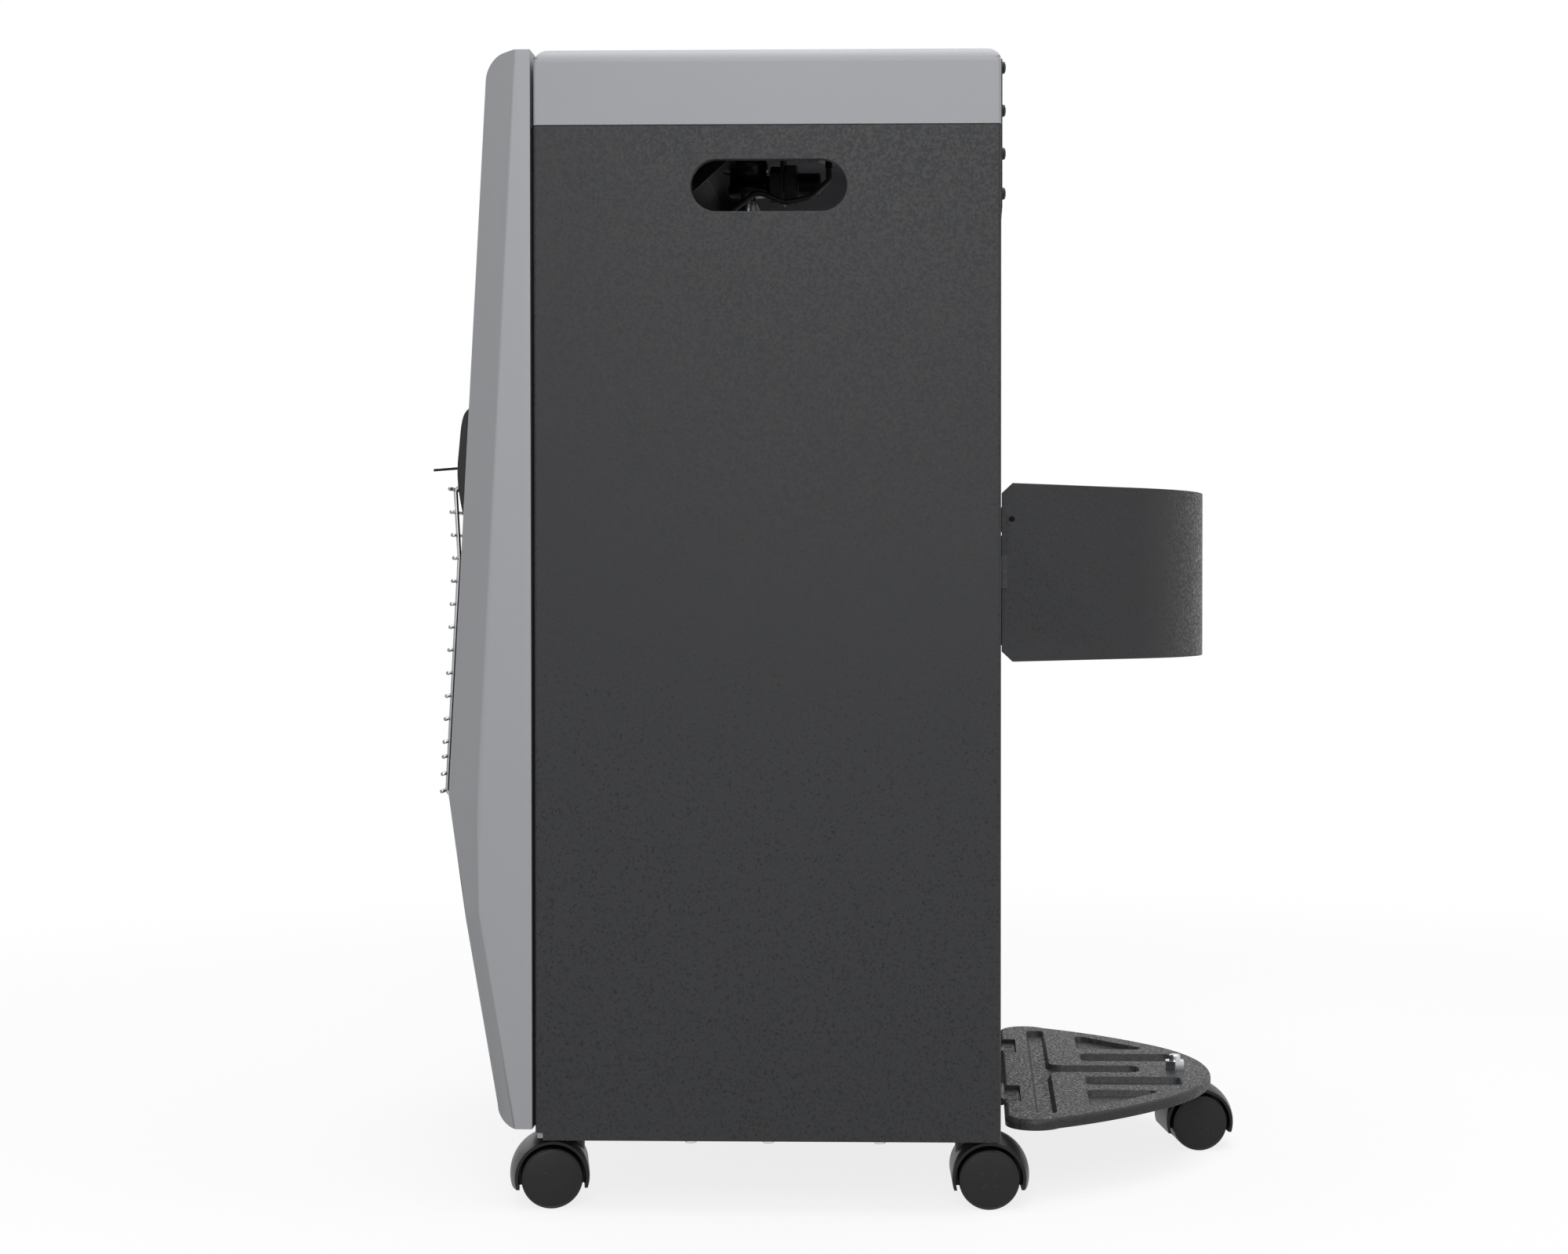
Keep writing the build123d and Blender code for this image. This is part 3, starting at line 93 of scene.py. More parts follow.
def addRamp(tree, factor, stops):
    ramp = tree.nodes.new("ShaderNodeValToRGB")
    elements = ramp.color_ramp.elements
    while len(elements) < len(stops):
        elements.new(0.5)
    for element, (place, shade) in zip(elements, stops):
        element.position = place
        element.color = (shade, shade, shade, 1)
    tree.links.new(factor, ramp.inputs["Fac"])
    return ramp.outputs["Color"]


def mixColour(tree, factor, first, second):
    node = tree.nodes.new("ShaderNodeMix")
    node.data_type = "RGBA"
    for index, value in ((0, factor), (6, first), (7, second)):
        if isinstance(value, (int, float, tuple)):
            node.inputs[index].default_value = value
        else:
            tree.links.new(value, node.inputs[index])
    return node.outputs[2]


grainShape = {"broadScale": 14.0, "roughShare": 0.6}  # clouds per metre, how far speckle roughens


def grainGroup():  # the fine orange-peel and speckle of a textured powder coat or moulding
    inputs = [
        ("Colour", "NodeSocketColor", (0.5, 0.5, 0.5, 1)),
        ("Grain per metre", "NodeSocketFloat", 900.0),
        ("Speckle", "NodeSocketFloat", 0.2),
        ("Clouding", "NodeSocketFloat", 0.05),
        ("Roughness", "NodeSocketFloat", 0.5),
    ]
    outputs = [("Colour", "NodeSocketColor"), ("Roughness", "NodeSocketFloat"), ("Height", "NodeSocketFloat")]
    group, start, end = makeGroup("finishGrain", inputs, outputs)
    place = addNode(group, "ShaderNodeTexCoord")
    fine = addNode(group, "ShaderNodeTexNoise", Detail=3.0, Roughness=0.6)
    broad = addNode(group, "ShaderNodeTexNoise", Scale=grainShape["broadScale"], Detail=2.0, Roughness=0.5)
    for texture in (fine, broad):
        group.links.new(place.outputs["Object"], texture.inputs["Vector"])
    group.links.new(start.outputs["Grain per metre"], fine.inputs["Scale"])
    speck = addMath(group, "SUBTRACT", fine.outputs["Fac"], 0.5)
    cloud = addMath(group, "SUBTRACT", broad.outputs["Fac"], 0.5)
    speck = addMath(group, "MULTIPLY", speck, start.outputs["Speckle"])
    cloud = addMath(group, "MULTIPLY", cloud, start.outputs["Clouding"])
    gain = addMath(group, "ADD", addMath(group, "ADD", speck, cloud), 1.0)
    scaled = addNode(group, "ShaderNodeVectorMath", {"operation": "SCALE"})
    group.links.new(start.outputs["Colour"], scaled.inputs[0])
    group.links.new(gain, scaled.inputs["Scale"])
    group.links.new(scaled.outputs[0], end.inputs["Colour"])
    speck = addMath(group, "MULTIPLY", speck, grainShape["roughShare"])
    rough = addMath(group, "ADD", start.outputs["Roughness"], speck, True)
    group.links.new(rough, end.inputs["Roughness"])
    group.links.new(fine.outputs["Fac"], end.inputs["Height"])
    return group


streakShape = {"smudgeScale": 30.0, "smudge": 0.12}  # smudges per metre, how far they roughen


def drawnGroup():  # streaks along one direction, as on rolled, drawn or plated metal
    inputs = [
        ("Colour", "NodeSocketColor", (0.6, 0.6, 0.6, 1)),
        ("Stretch", "NodeSocketVector", (20.0, 400.0, 400.0)),
        ("Streak", "NodeSocketFloat", 0.1),
        ("Roughness", "NodeSocketFloat", 0.3),
    ]
    outputs = [("Colour", "NodeSocketColor"), ("Roughness", "NodeSocketFloat"), ("Height", "NodeSocketFloat")]
    group, start, end = makeGroup("drawnStreaks", inputs, outputs)
    place = addNode(group, "ShaderNodeTexCoord")
    scaled = addNode(group, "ShaderNodeVectorMath", {"operation": "MULTIPLY"})
    group.links.new(place.outputs["Object"], scaled.inputs[0])
    group.links.new(start.outputs["Stretch"], scaled.inputs[1])
    lines = addNode(group, "ShaderNodeTexNoise", Scale=1.0, Detail=4.0, Roughness=0.65)
    smudge = addNode(group, "ShaderNodeTexNoise", Scale=streakShape["smudgeScale"], Detail=2.0)
    group.links.new(scaled.outputs[0], lines.inputs["Vector"])
    group.links.new(place.outputs["Object"], smudge.inputs["Vector"])
    streak = addMath(group, "SUBTRACT", lines.outputs["Fac"], 0.5)
    streak = addMath(group, "MULTIPLY", streak, start.outputs["Streak"])
    gain = addMath(group, "ADD", streak, 1.0)
    tinted = addNode(group, "ShaderNodeVectorMath", {"operation": "SCALE"})
    group.links.new(start.outputs["Colour"], tinted.inputs[0])
    group.links.new(gain, tinted.inputs["Scale"])
    group.links.new(tinted.outputs[0], end.inputs["Colour"])
    mark = addMath(group, "SUBTRACT", smudge.outputs["Fac"], 0.5)
    mark = addMath(group, "MULTIPLY", mark, streakShape["smudge"])
    rough = addMath(group, "ADD", start.outputs["Roughness"], addMath(group, "ADD", streak, mark), True)
    group.links.new(rough, end.inputs["Roughness"])
    group.links.new(lines.outputs["Fac"], end.inputs["Height"])
    return group


# painted highlight: how far past a flat face the edges get their lighter colour
edgeHighlightReach = {"starts": 0.52, "full": 0.62}  # Pointiness, where a flat face is 0.5


def edgeHighlightGroup():  # paints a highlight on proud edges, lightening them a little where light would catch them
    inputs = [
        ("Colour", "NodeSocketColor", (0.5, 0.5, 0.5, 1)),
        ("Edge colour", "NodeSocketColor", (0.7, 0.7, 0.7, 1)),
        ("Amount", "NodeSocketFloat", 0.3),
    ]
    group, start, end = makeGroup("rubbedEdge", inputs, [("Colour", "NodeSocketColor")])
    shape = addNode(group, "ShaderNodeNewGeometry")
    highlightMask = addRamp(group, shape.outputs["Pointiness"], [(edgeHighlightReach["starts"], 0.0), (edgeHighlightReach["full"], 1.0)])
    amount = addMath(group, "MULTIPLY", highlightMask, start.outputs["Amount"])
    mixed = mixColour(group, amount, start.outputs["Colour"], start.outputs["Edge colour"])
    group.links.new(mixed, end.inputs["Colour"])
    return group


sharedGroups = {"grain": grainGroup(), "drawn": drawnGroup(), "edge": edgeHighlightGroup()}
print("shader groups built")


# ---- finishes, one for each material slot of the record, and a near-black finish that paints shade on the visor's rim

def newFinish(name, **settings):
    finish = bpy.data.materials.new(name)
    finish.use_nodes = True
    shader = finish.node_tree.nodes["Principled BSDF"]
    for key, value in settings.items():
        shader.inputs[key.replace("_", " ")].default_value = value
    return finish, finish.node_tree, shader


def placeGroup(tree, name, **inputs):
    node = tree.nodes.new("ShaderNodeGroup")
    node.node_tree = sharedGroups[name]
    for key, value in inputs.items():
        socket = node.inputs[key.replace("_", " ")]
        socket.default_value = (*value, 1) if socket.type == "RGBA" else value
    return node


def addBump(tree, shader, height, strength, depth):
    bump = addNode(tree, "ShaderNodeBump", Strength=strength, Distance=depth)
    tree.links.new(height, bump.inputs["Height"])
    tree.links.new(bump.outputs["Normal"], shader.inputs["Normal"])


# the amount here sets how strongly the painted edge highlight is mixed in
coatDetail = {"edgeAmount": 0.35, "bumpDepth": 0.2 * mm}


def coatedFinish(name, colour, edge, grain, speckle, clouding, rough, bump, specular):
    finish, tree, shader = newFinish(name, Specular_IOR_Level=specular)
    coat = placeGroup(tree, "grain", Colour=colour, Grain_per_metre=grain, Speckle=speckle, Clouding=clouding)
    coat.inputs["Roughness"].default_value = rough
    # proud edges get a painted highlight in the lighter edge colour
    rim = placeGroup(tree, "edge", Edge_colour=edge, Amount=coatDetail["edgeAmount"])
    tree.links.new(coat.outputs["Colour"], rim.inputs["Colour"])
    tree.links.new(rim.outputs["Colour"], shader.inputs["Base Color"])
    tree.links.new(coat.outputs["Roughness"], shader.inputs["Roughness"])
    addBump(tree, shader, coat.outputs["Height"], bump, coatDetail["bumpDepth"])
    return finish


metalDetail = {"bump": 0.05, "bumpDepth": 0.1 * mm}


def metalFinish(name, colour, stretch, streak, rough):
    finish, tree, shader = newFinish(name, Metallic=1.0)
    drawn = placeGroup(tree, "drawn", Colour=colour, Stretch=stretch, Streak=streak, Roughness=rough)
    tree.links.new(drawn.outputs["Colour"], shader.inputs["Base Color"])
    tree.links.new(drawn.outputs["Roughness"], shader.inputs["Roughness"])
    addBump(tree, shader, drawn.outputs["Height"], metalDetail["bump"], metalDetail["bumpDepth"])
    return finish


coats = {  # colour, painted edge highlight colour, grain per metre, speckle, clouding, roughness, bump, specular
    "charcoal_paint": ((0.0275, 0.0282, 0.0300), (0.060, 0.061, 0.064), 540, 3.0, 0.10, 0.52, 0.30, 0.26),
    "light_paint": ((0.325, 0.330, 0.347), (0.42, 0.425, 0.44), 800, 0.06, 0.04, 0.42, 0.10, 0.33),
    "black_paint": ((0.010, 0.010, 0.0115), (0.03, 0.03, 0.03), 1500, 0.20, 0.08, 0.36, 0.15, 0.25),
    "black_plastic": ((0.006, 0.006, 0.0066), (0.022, 0.022, 0.023), 1400, 0.35, 0.10, 0.38, 0.20, 0.26),
    "grey_wheel": ((0.0085, 0.0085, 0.0093), (0.030, 0.030, 0.032), 1000, 0.90, 0.10, 0.44, 0.35, 0.28),
    "lead_insulation": ((0.008, 0.008, 0.009), (0.02, 0.02, 0.02), 2500, 0.15, 0.10, 0.45, 0.10, 0.4),
    # seal_foam: the black strip in the gap between the front shell and the cabinet is a real seal whose black also
    # paints the shade of that gap
    "seal_foam": ((0.006, 0.006, 0.006), (0.01, 0.01, 0.01), 2200, 0.60, 0.10, 0.95, 0.80, 0.2),
    "white_ceramic": ((0.78, 0.76, 0.71), (0.80, 0.79, 0.75), 500, 0.03, 0.03, 0.18, 0.02, 0.5),
}
metals = {  # colour, stretch, streak, roughness
    "zinc_plate": ((0.62, 0.63, 0.65), (300, 300, 300), 0.16, 0.26),
    "chrome_wire": ((0.36, 0.365, 0.37), (120, 120, 120), 0.05, 0.12),
    "bright_sheet": ((0.50, 0.505, 0.515), (18, 500, 500), 0.14, 0.22),
    "aluminised_sheet": ((0.34, 0.345, 0.35), (40, 60, 400), 0.22, 0.42),
    # painted shade: near black so that the visor's folded rim reads as its edge in shadow
    "heated_edge": ((0.016, 0.015, 0.016), (250, 250, 250), 0.20, 0.40),
    "brass": ((0.62, 0.44, 0.18), (250, 250, 250), 0.16, 0.28),
    "copper_tube": ((0.66, 0.36, 0.22), (400, 400, 60), 0.16, 0.30),
}


plaque = {  # the hole and its soft edge are shares of the pitch
    # the holes' colour is painted shade: the dark depth of each gas hole, drawn on the flat face
    "pitch": 1.9 * mm, "hole": 0.36, "holeEdge": 0.10, "holeColour": (0.13, 0.10, 0.075, 1),
    "clay": (0.60, 0.50, 0.38), "grain": 350, "speckle": 0.25, "clouding": 0.5, "rough": 0.9, "specular": 0.2,
    "bump": 0.8, "bumpDepth": 0.6 * mm, "cellShift": 100,  # whole cells that keep the count positive
}


def plaqueFinish():  # fired cordierite with a field of fine gas holes in offset rows, the holes painted dark as their shade
    specular = plaque["specular"]
    finish, tree, shader = newFinish("plaque_ceramic", Roughness=plaque["rough"], Specular_IOR_Level=specular)
    rowShare = math.sqrt(3)
    place = addNode(tree, "ShaderNodeTexCoord")
    split = addNode(tree, "ShaderNodeSeparateXYZ")
    tree.links.new(place.outputs["Object"], split.inputs[0])
    across = addMath(tree, "DIVIDE", split.outputs["X"], plaque["pitch"])
    upward = addMath(tree, "DIVIDE", split.outputs["Z"], plaque["pitch"] * rowShare)
    fields = []
    for shift in (0.0, 0.5):
        squares = []
        for cells, scale in ((across, 1.0), (upward, rowShare)):
            cell = addMath(tree, "FRACT", addMath(tree, "ADD", cells, plaque["cellShift"] + shift))
            away = addMath(tree, "MULTIPLY", addMath(tree, "SUBTRACT", cell, 0.5), scale)
            squares.append(addMath(tree, "POWER", away, 2.0))
        fields.append(addMath(tree, "SQRT", addMath(tree, "ADD", *squares)))
    nearest = addMath(tree, "MINIMUM", *fields)
    solid = addRamp(tree, nearest, [(plaque["hole"] - plaque["holeEdge"], 0.0), (plaque["hole"], 1.0)])
    bake = placeGroup(tree, "grain", Colour=plaque["clay"], Grain_per_metre=plaque["grain"])
    for key in ("Speckle", "Clouding"):
        bake.inputs[key].default_value = plaque[key.lower()]
    # painted shade where the holes are, the baked clay elsewhere
    colour = mixColour(tree, solid, plaque["holeColour"], bake.outputs["Colour"])
    tree.links.new(colour, shader.inputs["Base Color"])
    addBump(tree, shader, solid, plaque["bump"], plaque["bumpDepth"])
    return finish


finishes = {name: coatedFinish(name, *values) for name, values in coats.items()}
finishes.update({name: metalFinish(name, *values) for name, values in metals.items()})
finishes["plaque_ceramic"] = plaqueFinish()
for node, slot in nodeSlot.items():
    mesh = frame["nodes"][node].data
    mesh.materials.clear()
    mesh.materials.append(finishes[slot])
print("finishes made:", len(finishes))


# ---- mesh work that every kind of piece shares

def readMesh(mesh):
    work = bmesh.new()
    work.from_mesh(mesh)
    return work


def closeMesh(work, name, recount=True):  # turns mesh work into a mesh, its faces pointing outwards
    if recount:
        bmesh.ops.recalc_face_normals(work, faces=work.faces)
    mesh = bpy.data.meshes.new(name)
    work.to_mesh(mesh)
    work.free()
    return mesh


def joinRings(work, first, second):  # a closed band of faces between two rings of as many corners
    for index in range(len(first)):
        after = (index + 1) % len(first)
        work.faces.new([first[index], first[after], second[after], second[index]])


def combine(mesh, tool, operation):  # the exact union or difference of two closed meshes
    blank = bpy.data.objects.new("blank", mesh)
    other = bpy.data.objects.new("tool", tool)
    for item in (blank, other):
        bpy.context.scene.collection.objects.link(item)
    join = blank.modifiers.new("join", "BOOLEAN")
    join.object = other
    join.solver = "EXACT"
    join.operation = operation
    bpy.context.view_layer.update()
    made = bpy.data.meshes.new_from_object(blank.evaluated_get(bpy.context.evaluated_depsgraph_get()))
    for item in (blank, other):
        bpy.data.objects.remove(item)
    return made


def addPiece(node, ending, mesh):  # a visible piece that stands for a node, on its body and in its finish
    slot = slotChange.get(node, nodeSlot[node])
    piece = bpy.data.objects.new(node + ending, mesh)
    bpy.context.scene.collection.objects.link(piece)
    mesh.materials.clear()
    mesh.materials.append(finishes[slot])
    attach(piece, bodyOf[node])
    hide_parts(node)
    return piece


def smoothFaces(piece, sharp):
    piece.data.shade_smooth()
    piece.data.set_sharp_from_angle(angle=math.radians(sharp))


def levelNormals(piece):  # keeps broad flat faces looking flat beside eased corners
    level = piece.modifiers.new("levelNormals", "WEIGHTED_NORMAL")
    level.mode = "FACE_AREA"
    level.keep_sharp = True


# ---- dressed pieces: the solids' own forms with eased edges

slotChange = {  # pieces given another finish than the metal the record names: the hinges painted charcoal, the cross rail made black
    "hinge_base_leaves": "charcoal_paint", "hinge_shelf_leaves": "charcoal_paint",
    "hinge_pins": "charcoal_paint", "cross_rail": "black_paint",
}
easing = {"usual": 0.15 * mm, "steps": 2, "flat": 0.4, "corner": 28, "crisp": 34}  # the last three in degrees
slotLip = {  # millimetres and degrees: where the lip is, what counts as a corner, the share of other corners
    "outside": 209.7, "low": 640, "high": 682, "middle": -38.6, "half": 52, "corner": 50, "otherShare": 0.3,
}
creases = {  # millimetres and degrees: where the pressed creases are, and how sharp and long they are
    "outside": 170, "low": 74, "high": 730, "flattest": 8, "steepest": 60, "shortest": 40,
}


def panelRounding(spot, angle, length):  # the hand slot's rolled lip is soft, cut edges are crisp
    if angle < slotLip["corner"]:
        return 0.0
    beside = abs(spot.x) > slotLip["outside"] and abs(spot.y - slotLip["middle"]) < slotLip["half"]
    return 1.0 if beside and slotLip["low"] < spot.z < slotLip["high"] else slotLip["otherShare"]


def shellRounding(spot, angle, length):  # the pressed creases are softer than the rim
    bent = creases["flattest"] < angle < creases["steepest"] and length > creases["shortest"]
    return float(bent and abs(spot.x) > creases["outside"] and creases["low"] < spot.z < creases["high"])


roundings = {  # full rounding, steps, and the share that each edge gets
    "side_panel_right": (1.0 * mm, 4, panelRounding), "side_panel_left": (1.0 * mm, 4, panelRounding),
    "front_shell": (1.2 * mm, 3, shellRounding),
}
easedWidths = {  # how far the corners of other pieces are eased, where it isn't the usual width
    "base_plate": 0.35 * mm, "top_cover": 0.25 * mm, "rear_upper_panel": 0.3 * mm, "heat_shield": 0.2 * mm,
    "cross_rail": 0.3 * mm, "front_bezel": 0.35 * mm, "burner_reflector": 0.25 * mm, "burner_body": 0.5 * mm,
    "bottle_strap": 0.35 * mm, "control_knob": 0.2 * mm, "piezo_button": 0.4 * mm,
    "plaque_frame": 0, "wire_guard": 0, "gas_valve": 0,  # thin webs and joined rounds stay as they are
}


def copyNode(node):
    mesh = frame["nodes"][node].data.copy()
    if "custom_normal" in mesh.attributes:
        mesh.attributes.remove(mesh.attributes["custom_normal"])
    work = readMesh(mesh)
    bmesh.ops.remove_doubles(work, verts=work.verts, dist=weld)
    flat = math.radians(easing["flat"])
    bmesh.ops.dissolve_limit(
        work, angle_limit=flat, verts=work.verts, edges=work.edges, use_dissolve_boundaries=False
    )
    work.to_mesh(mesh)
    work.free()
    return mesh


def markEdges(mesh, share):  # share(middle, angle, length) is the part of the full rounding that an edge gets
    work = readMesh(mesh)
    layer = work.edges.layers.float.new("bevel_weight_edge")
    for edge in work.edges:
        if len(edge.link_faces) == 2:
            angle = math.degrees(edge.calc_face_angle(0))
            ends = [vert.co for vert in edge.verts]
            if edge.is_convex:
                edge[layer] = share((ends[0] + ends[1]) / 2 / mm, angle, edge.calc_length() / mm)
            edge.smooth = edge[layer] > 0 or angle < easing["crisp"]
    work.to_mesh(mesh)
    work.free()


def dress(node):
    piece = addPiece(node, "_dressed", copyNode(node))
    marked = node in roundings
    if marked:
        width, steps, share = roundings[node]
        markEdges(piece.data, share)
    else:
        width, steps = easedWidths.get(node, easing["usual"]), easing["steps"]
    if width:
        bevel = piece.modifiers.new("easedEdges", "BEVEL")
        bevel.limit_method = "WEIGHT" if marked else "ANGLE"
        bevel.angle_limit = math.radians(easing["corner"])
        bevel.width = width
        bevel.segments = steps
        bevel.use_clamp_overlap = False
        bevel.harden_normals = False
        bevel.miter_outer = "MITER_ARC"
    if marked:  # shade_smooth would clear the sharp marks
        piece.data.polygons.foreach_set("use_smooth", [True] * len(piece.data.polygons))
    else:
        piece.data.shade_smooth()
    levelNormals(piece)


handMade = [node for node in nodeSlot if node.endswith("_caster_wheels")]
handMade += ["gas_inlet_fitting", "rear_panel_screws", "rear_shelf", "deflector_visor"]
for node in nodeSlot:
    if node not in handMade:
        dress(node)
strapEnd = {"back": 113.1 * mm, "within": 0.3 * mm, "forward": 2.6 * mm}  # its ends come up to the sides
for vert in bpy.data.objects["bottle_strap_dressed"].data.vertices:
    if abs(vert.co.y - strapEnd["back"]) < strapEnd["within"]:
        vert.co.y -= strapEnd["forward"]
print("pieces dressed:", len(nodeSlot) - len(handMade))


# ---- turned pieces made by hand

def toward(axis, place):  # a frame with its X along axis
    turn = Vector((1, 0, 0)).rotation_difference(Vector(axis)).to_matrix().to_4x4()
    return Matrix.Translation(Vector(place)) @ turn


def spinProfile(work, profile, steps, spindle):  # profile of (along the axis, radius), in metres
    rings = []
    for along, radius in profile:
        turns = [2 * math.pi * step / steps for step in range(steps if radius else 1)]
        spots = [Vector((along, radius * math.cos(turn), radius * math.sin(turn))) for turn in turns]
        rings.append([work.verts.new(spindle @ spot) for spot in spots])
    for first, second in zip(rings, rings[1:]):
        for step in range(steps):
            after = (step + 1) % steps
            corners = [(first, step), (first, after), (second, after), (second, step)]
            corners = list(dict.fromkeys(ring[index % len(ring)] for ring, index in corners))
            work.faces.new(corners[::-1])


def roundedProfile(corners, bends=5):  # (along, radius, corner rounding) to a smooth profile
    made = []
    for index, (along, radius, bend) in enumerate(corners):
        here = Vector((along, radius))
        if not bend or index in (0, len(corners) - 1):
            made.append((here.x, here.y))
            continue
        before = (Vector(corners[index - 1][:2]) - here).normalized() * bend
        after = (Vector(corners[index + 1][:2]) - here).normalized() * bend
        for step in range(bends + 1):
            share = step / bends
            place = here + before * (1 - share) ** 2 + after * share ** 2
            made.append((place.x, place.y))
    return made


casterWheel = {  # millimetres: distance out from the caster's middle, radius, rounding
    "corners": [
        (19.9, 0, 0), (19.9, 2.5, 0), (6.8, 2.5, 0), (6.8, 6.0, 0.5), (8.6, 7.0, 0.8), (8.6, 16.6, 1.0),
        (6.8, 17.8, 0.6), (6.8, 20.0, 1.2), (13.4, 19.96, 0), (19.0, 19.9, 0), (20.9, 19.8, 0.9),
        (21.6, 18.75, 0.45), (21.25, 18.2, 0.25), (21.55, 17.6, 0.3), (22.1, 14.0, 2.0), (22.55, 9.0, 3.0),
        (22.75, 4.0, 2.0), (22.8, 0, 0),
    ],
    "steps": 112, "sharp": 38,
}


def makeWheels(corner):
    node = corner + "_caster_wheels"
    roll = jointOf[corner + "_roll"]
    profile = [(along * mm, radius * mm) for along, radius in roundedProfile(casterWheel["corners"])]
    work = bmesh.new()
    for side in (1, -1):
        spinProfile(work, profile, casterWheel["steps"], toward(Vector(roll["axis"]) * side, roll["pos_m"]))
    smoothFaces(addPiece(node, "_turned", closeMesh(work, node)), casterWheel["sharp"])


for corner in ("front_right", "front_left", "rear_right", "rear_left", "shelf"):
    makeWheels(corner)


inletThread = {
    "pitch": 1.07 * mm, "depth": 0.62 * mm, "steps": 72, "perTurn": 8, "radius": 8.3 * mm, "reach": 15.0 * mm,
    "slack": 0.03 * mm, "runOut": 1.2, "flank": 3.2, "flatShare": 1.25, "sharp": 32,  # run-out in pitches
}


def makeInlet():  # the turned stub with its real thread, cut as a helix
    node = "gas_inlet_fitting"
    mount = next(mount for mount in frame["record"]["mounts"] if mount["name"] == "gas_inlet")
    middle = Vector(mount["pos_m"])
    half, slack, steps = inletThread["reach"] / 2, inletThread["slack"], inletThread["steps"]
    work = readMesh(copyNode(node))
    gone = []
    for face in work.faces:
        spots = [vert.co - middle for vert in face.verts]
        onWall = all(abs(math.hypot(spot.x, spot.z) - inletThread["radius"]) < slack for spot in spots)
        if onWall and all(abs(spot.y) < half + slack for spot in spots):
            gone.append(face)
    bmesh.ops.delete(work, geom=gone, context="FACES")
    rows = int(inletThread["reach"] / inletThread["pitch"] * inletThread["perTurn"])
    rings = []
    for row in range(rows + 1):
        along = -half + inletThread["reach"] * row / rows
        runOut = min(1.0, (half - abs(along)) / (inletThread["runOut"] * inletThread["pitch"]))
        ring = []
        for step in range(steps):
            angle = 2 * math.pi * step / steps
            phase = (along / inletThread["pitch"] - step / steps) % 1
            cut = inletThread["flatShare"] - abs(phase - 0.5) * inletThread["flank"]
            radius = inletThread["radius"] - min(1.0, max(0.0, cut)) * inletThread["depth"] * runOut
            spot = Vector((radius * math.cos(angle), along, radius * math.sin(angle)))
            ring.append(work.verts.new(middle + spot))
        rings.append(ring)
    for first, second in zip(rings, rings[1:]):
        joinRings(work, first, second)
    bmesh.ops.remove_doubles(work, verts=work.verts, dist=weld)
    smoothFaces(addPiece(node, "_threaded", closeMesh(work, node)), inletThread["sharp"])
    return len(gone)


print("inlet threaded, plain faces cut away:", makeInlet())


def solidBoxes(mesh):  # the lowest and highest corner of each separate solid in a mesh
    work = readMesh(mesh)
    bmesh.ops.remove_doubles(work, verts=work.verts, dist=weld)
    left = set(work.verts)
    boxes = []
    while left:
        front = [left.pop()]
        spots = []
        while front:
            vert = front.pop()
            spots.append(vert.co.copy())
            for edge in vert.link_edges:
                other = edge.other_vert(vert)
                if other in left:
                    left.remove(other)
                    front.append(other)
        ends = [[pick(spot[axis] for spot in spots) for axis in range(3)] for pick in (min, max)]
        boxes.append([Vector(end) for end in ends])
    work.free()
    return sorted(boxes, key=lambda pair: tuple(pair[0]))


panHead = {  # profile: share of the height down, share of the radius, rounding
    "height": 2.4 * mm, "steps": 40, "bends": 4, "shank": 0.48, "sharp": 35,
    "firstTurn": 0.4, "turnStep": 0.83,  # radians that the recesses are turned from screw to screw
    "profile": [(0, 0, 0), (0.06, 0.45, 0.3 * mm), (0.34, 0.93, 0.5 * mm), (0.95, 1, 0.1 * mm), (1, 0.98, 0)],
    "span": 2.2 * mm, "wide": 0.575 * mm, "deep": 1.5 * mm, "mouth": 1.05, "foot": 0.55,
}


def makePanHead(radius, length):  # a cross-recess pan head, its axis along X, its top at X = 0
    height, shank = panHead["height"], radius * panHead["shank"]
    corners = [(-down * height, share * radius, bend) for down, share, bend in panHead["profile"]]
    corners += [(-height, shank, 0), (-length, shank, 0), (-length, 0, 0)]
    work = bmesh.new()
    spinProfile(work, roundedProfile(corners, panHead["bends"]), panHead["steps"], Matrix.Identity(4))
    head = closeMesh(work, "panHead")
    span, wide = panHead["span"], panHead["wide"]
    outline = [(span, -wide), (span, wide), (wide, wide), (wide, span), (-wide, span), (-wide, wide)]
    outline += [(-y, -z) for y, z in outline]
    cutter = bmesh.new()
    top, foot = [
        [cutter.verts.new((along, y * share, z * share)) for y, z in outline]
        for along, share in ((height, panHead["mouth"]), (-panHead["deep"], panHead["foot"]))
    ]
    cutter.faces.new(top)
    cutter.faces.new(foot[::-1])
    joinRings(cutter, foot, top)
    return combine(head, closeMesh(cutter, "recess"), "DIFFERENCE")


def makeRearScrews():
    node = "rear_panel_screws"
    boxes = solidBoxes(frame["nodes"][node].data)
    low, high = boxes[0]
    head = makePanHead((high.x - low.x) / 2, high.y - low.y)
    work = bmesh.new()
    for index, (low, high) in enumerate(boxes):
        place = Vector(((low.x + high.x) / 2, high.y, (low.z + high.z) / 2))
        turn = Matrix.Rotation(panHead["firstTurn"] + panHead["turnStep"] * index, 4, "X")
        turned = head.copy()
        turned.transform(toward((0, 1, 0), place) @ turn)
        work.from_mesh(turned)
        bpy.data.meshes.remove(turned)
    smoothFaces(addPiece(node, "_crossHead", closeMesh(work, node, False)), panHead["sharp"])
    return len(boxes)


print("rear screws made:", makeRearScrews())


# ---- the pressed shelf, with sloping recess walls and a rolled rim

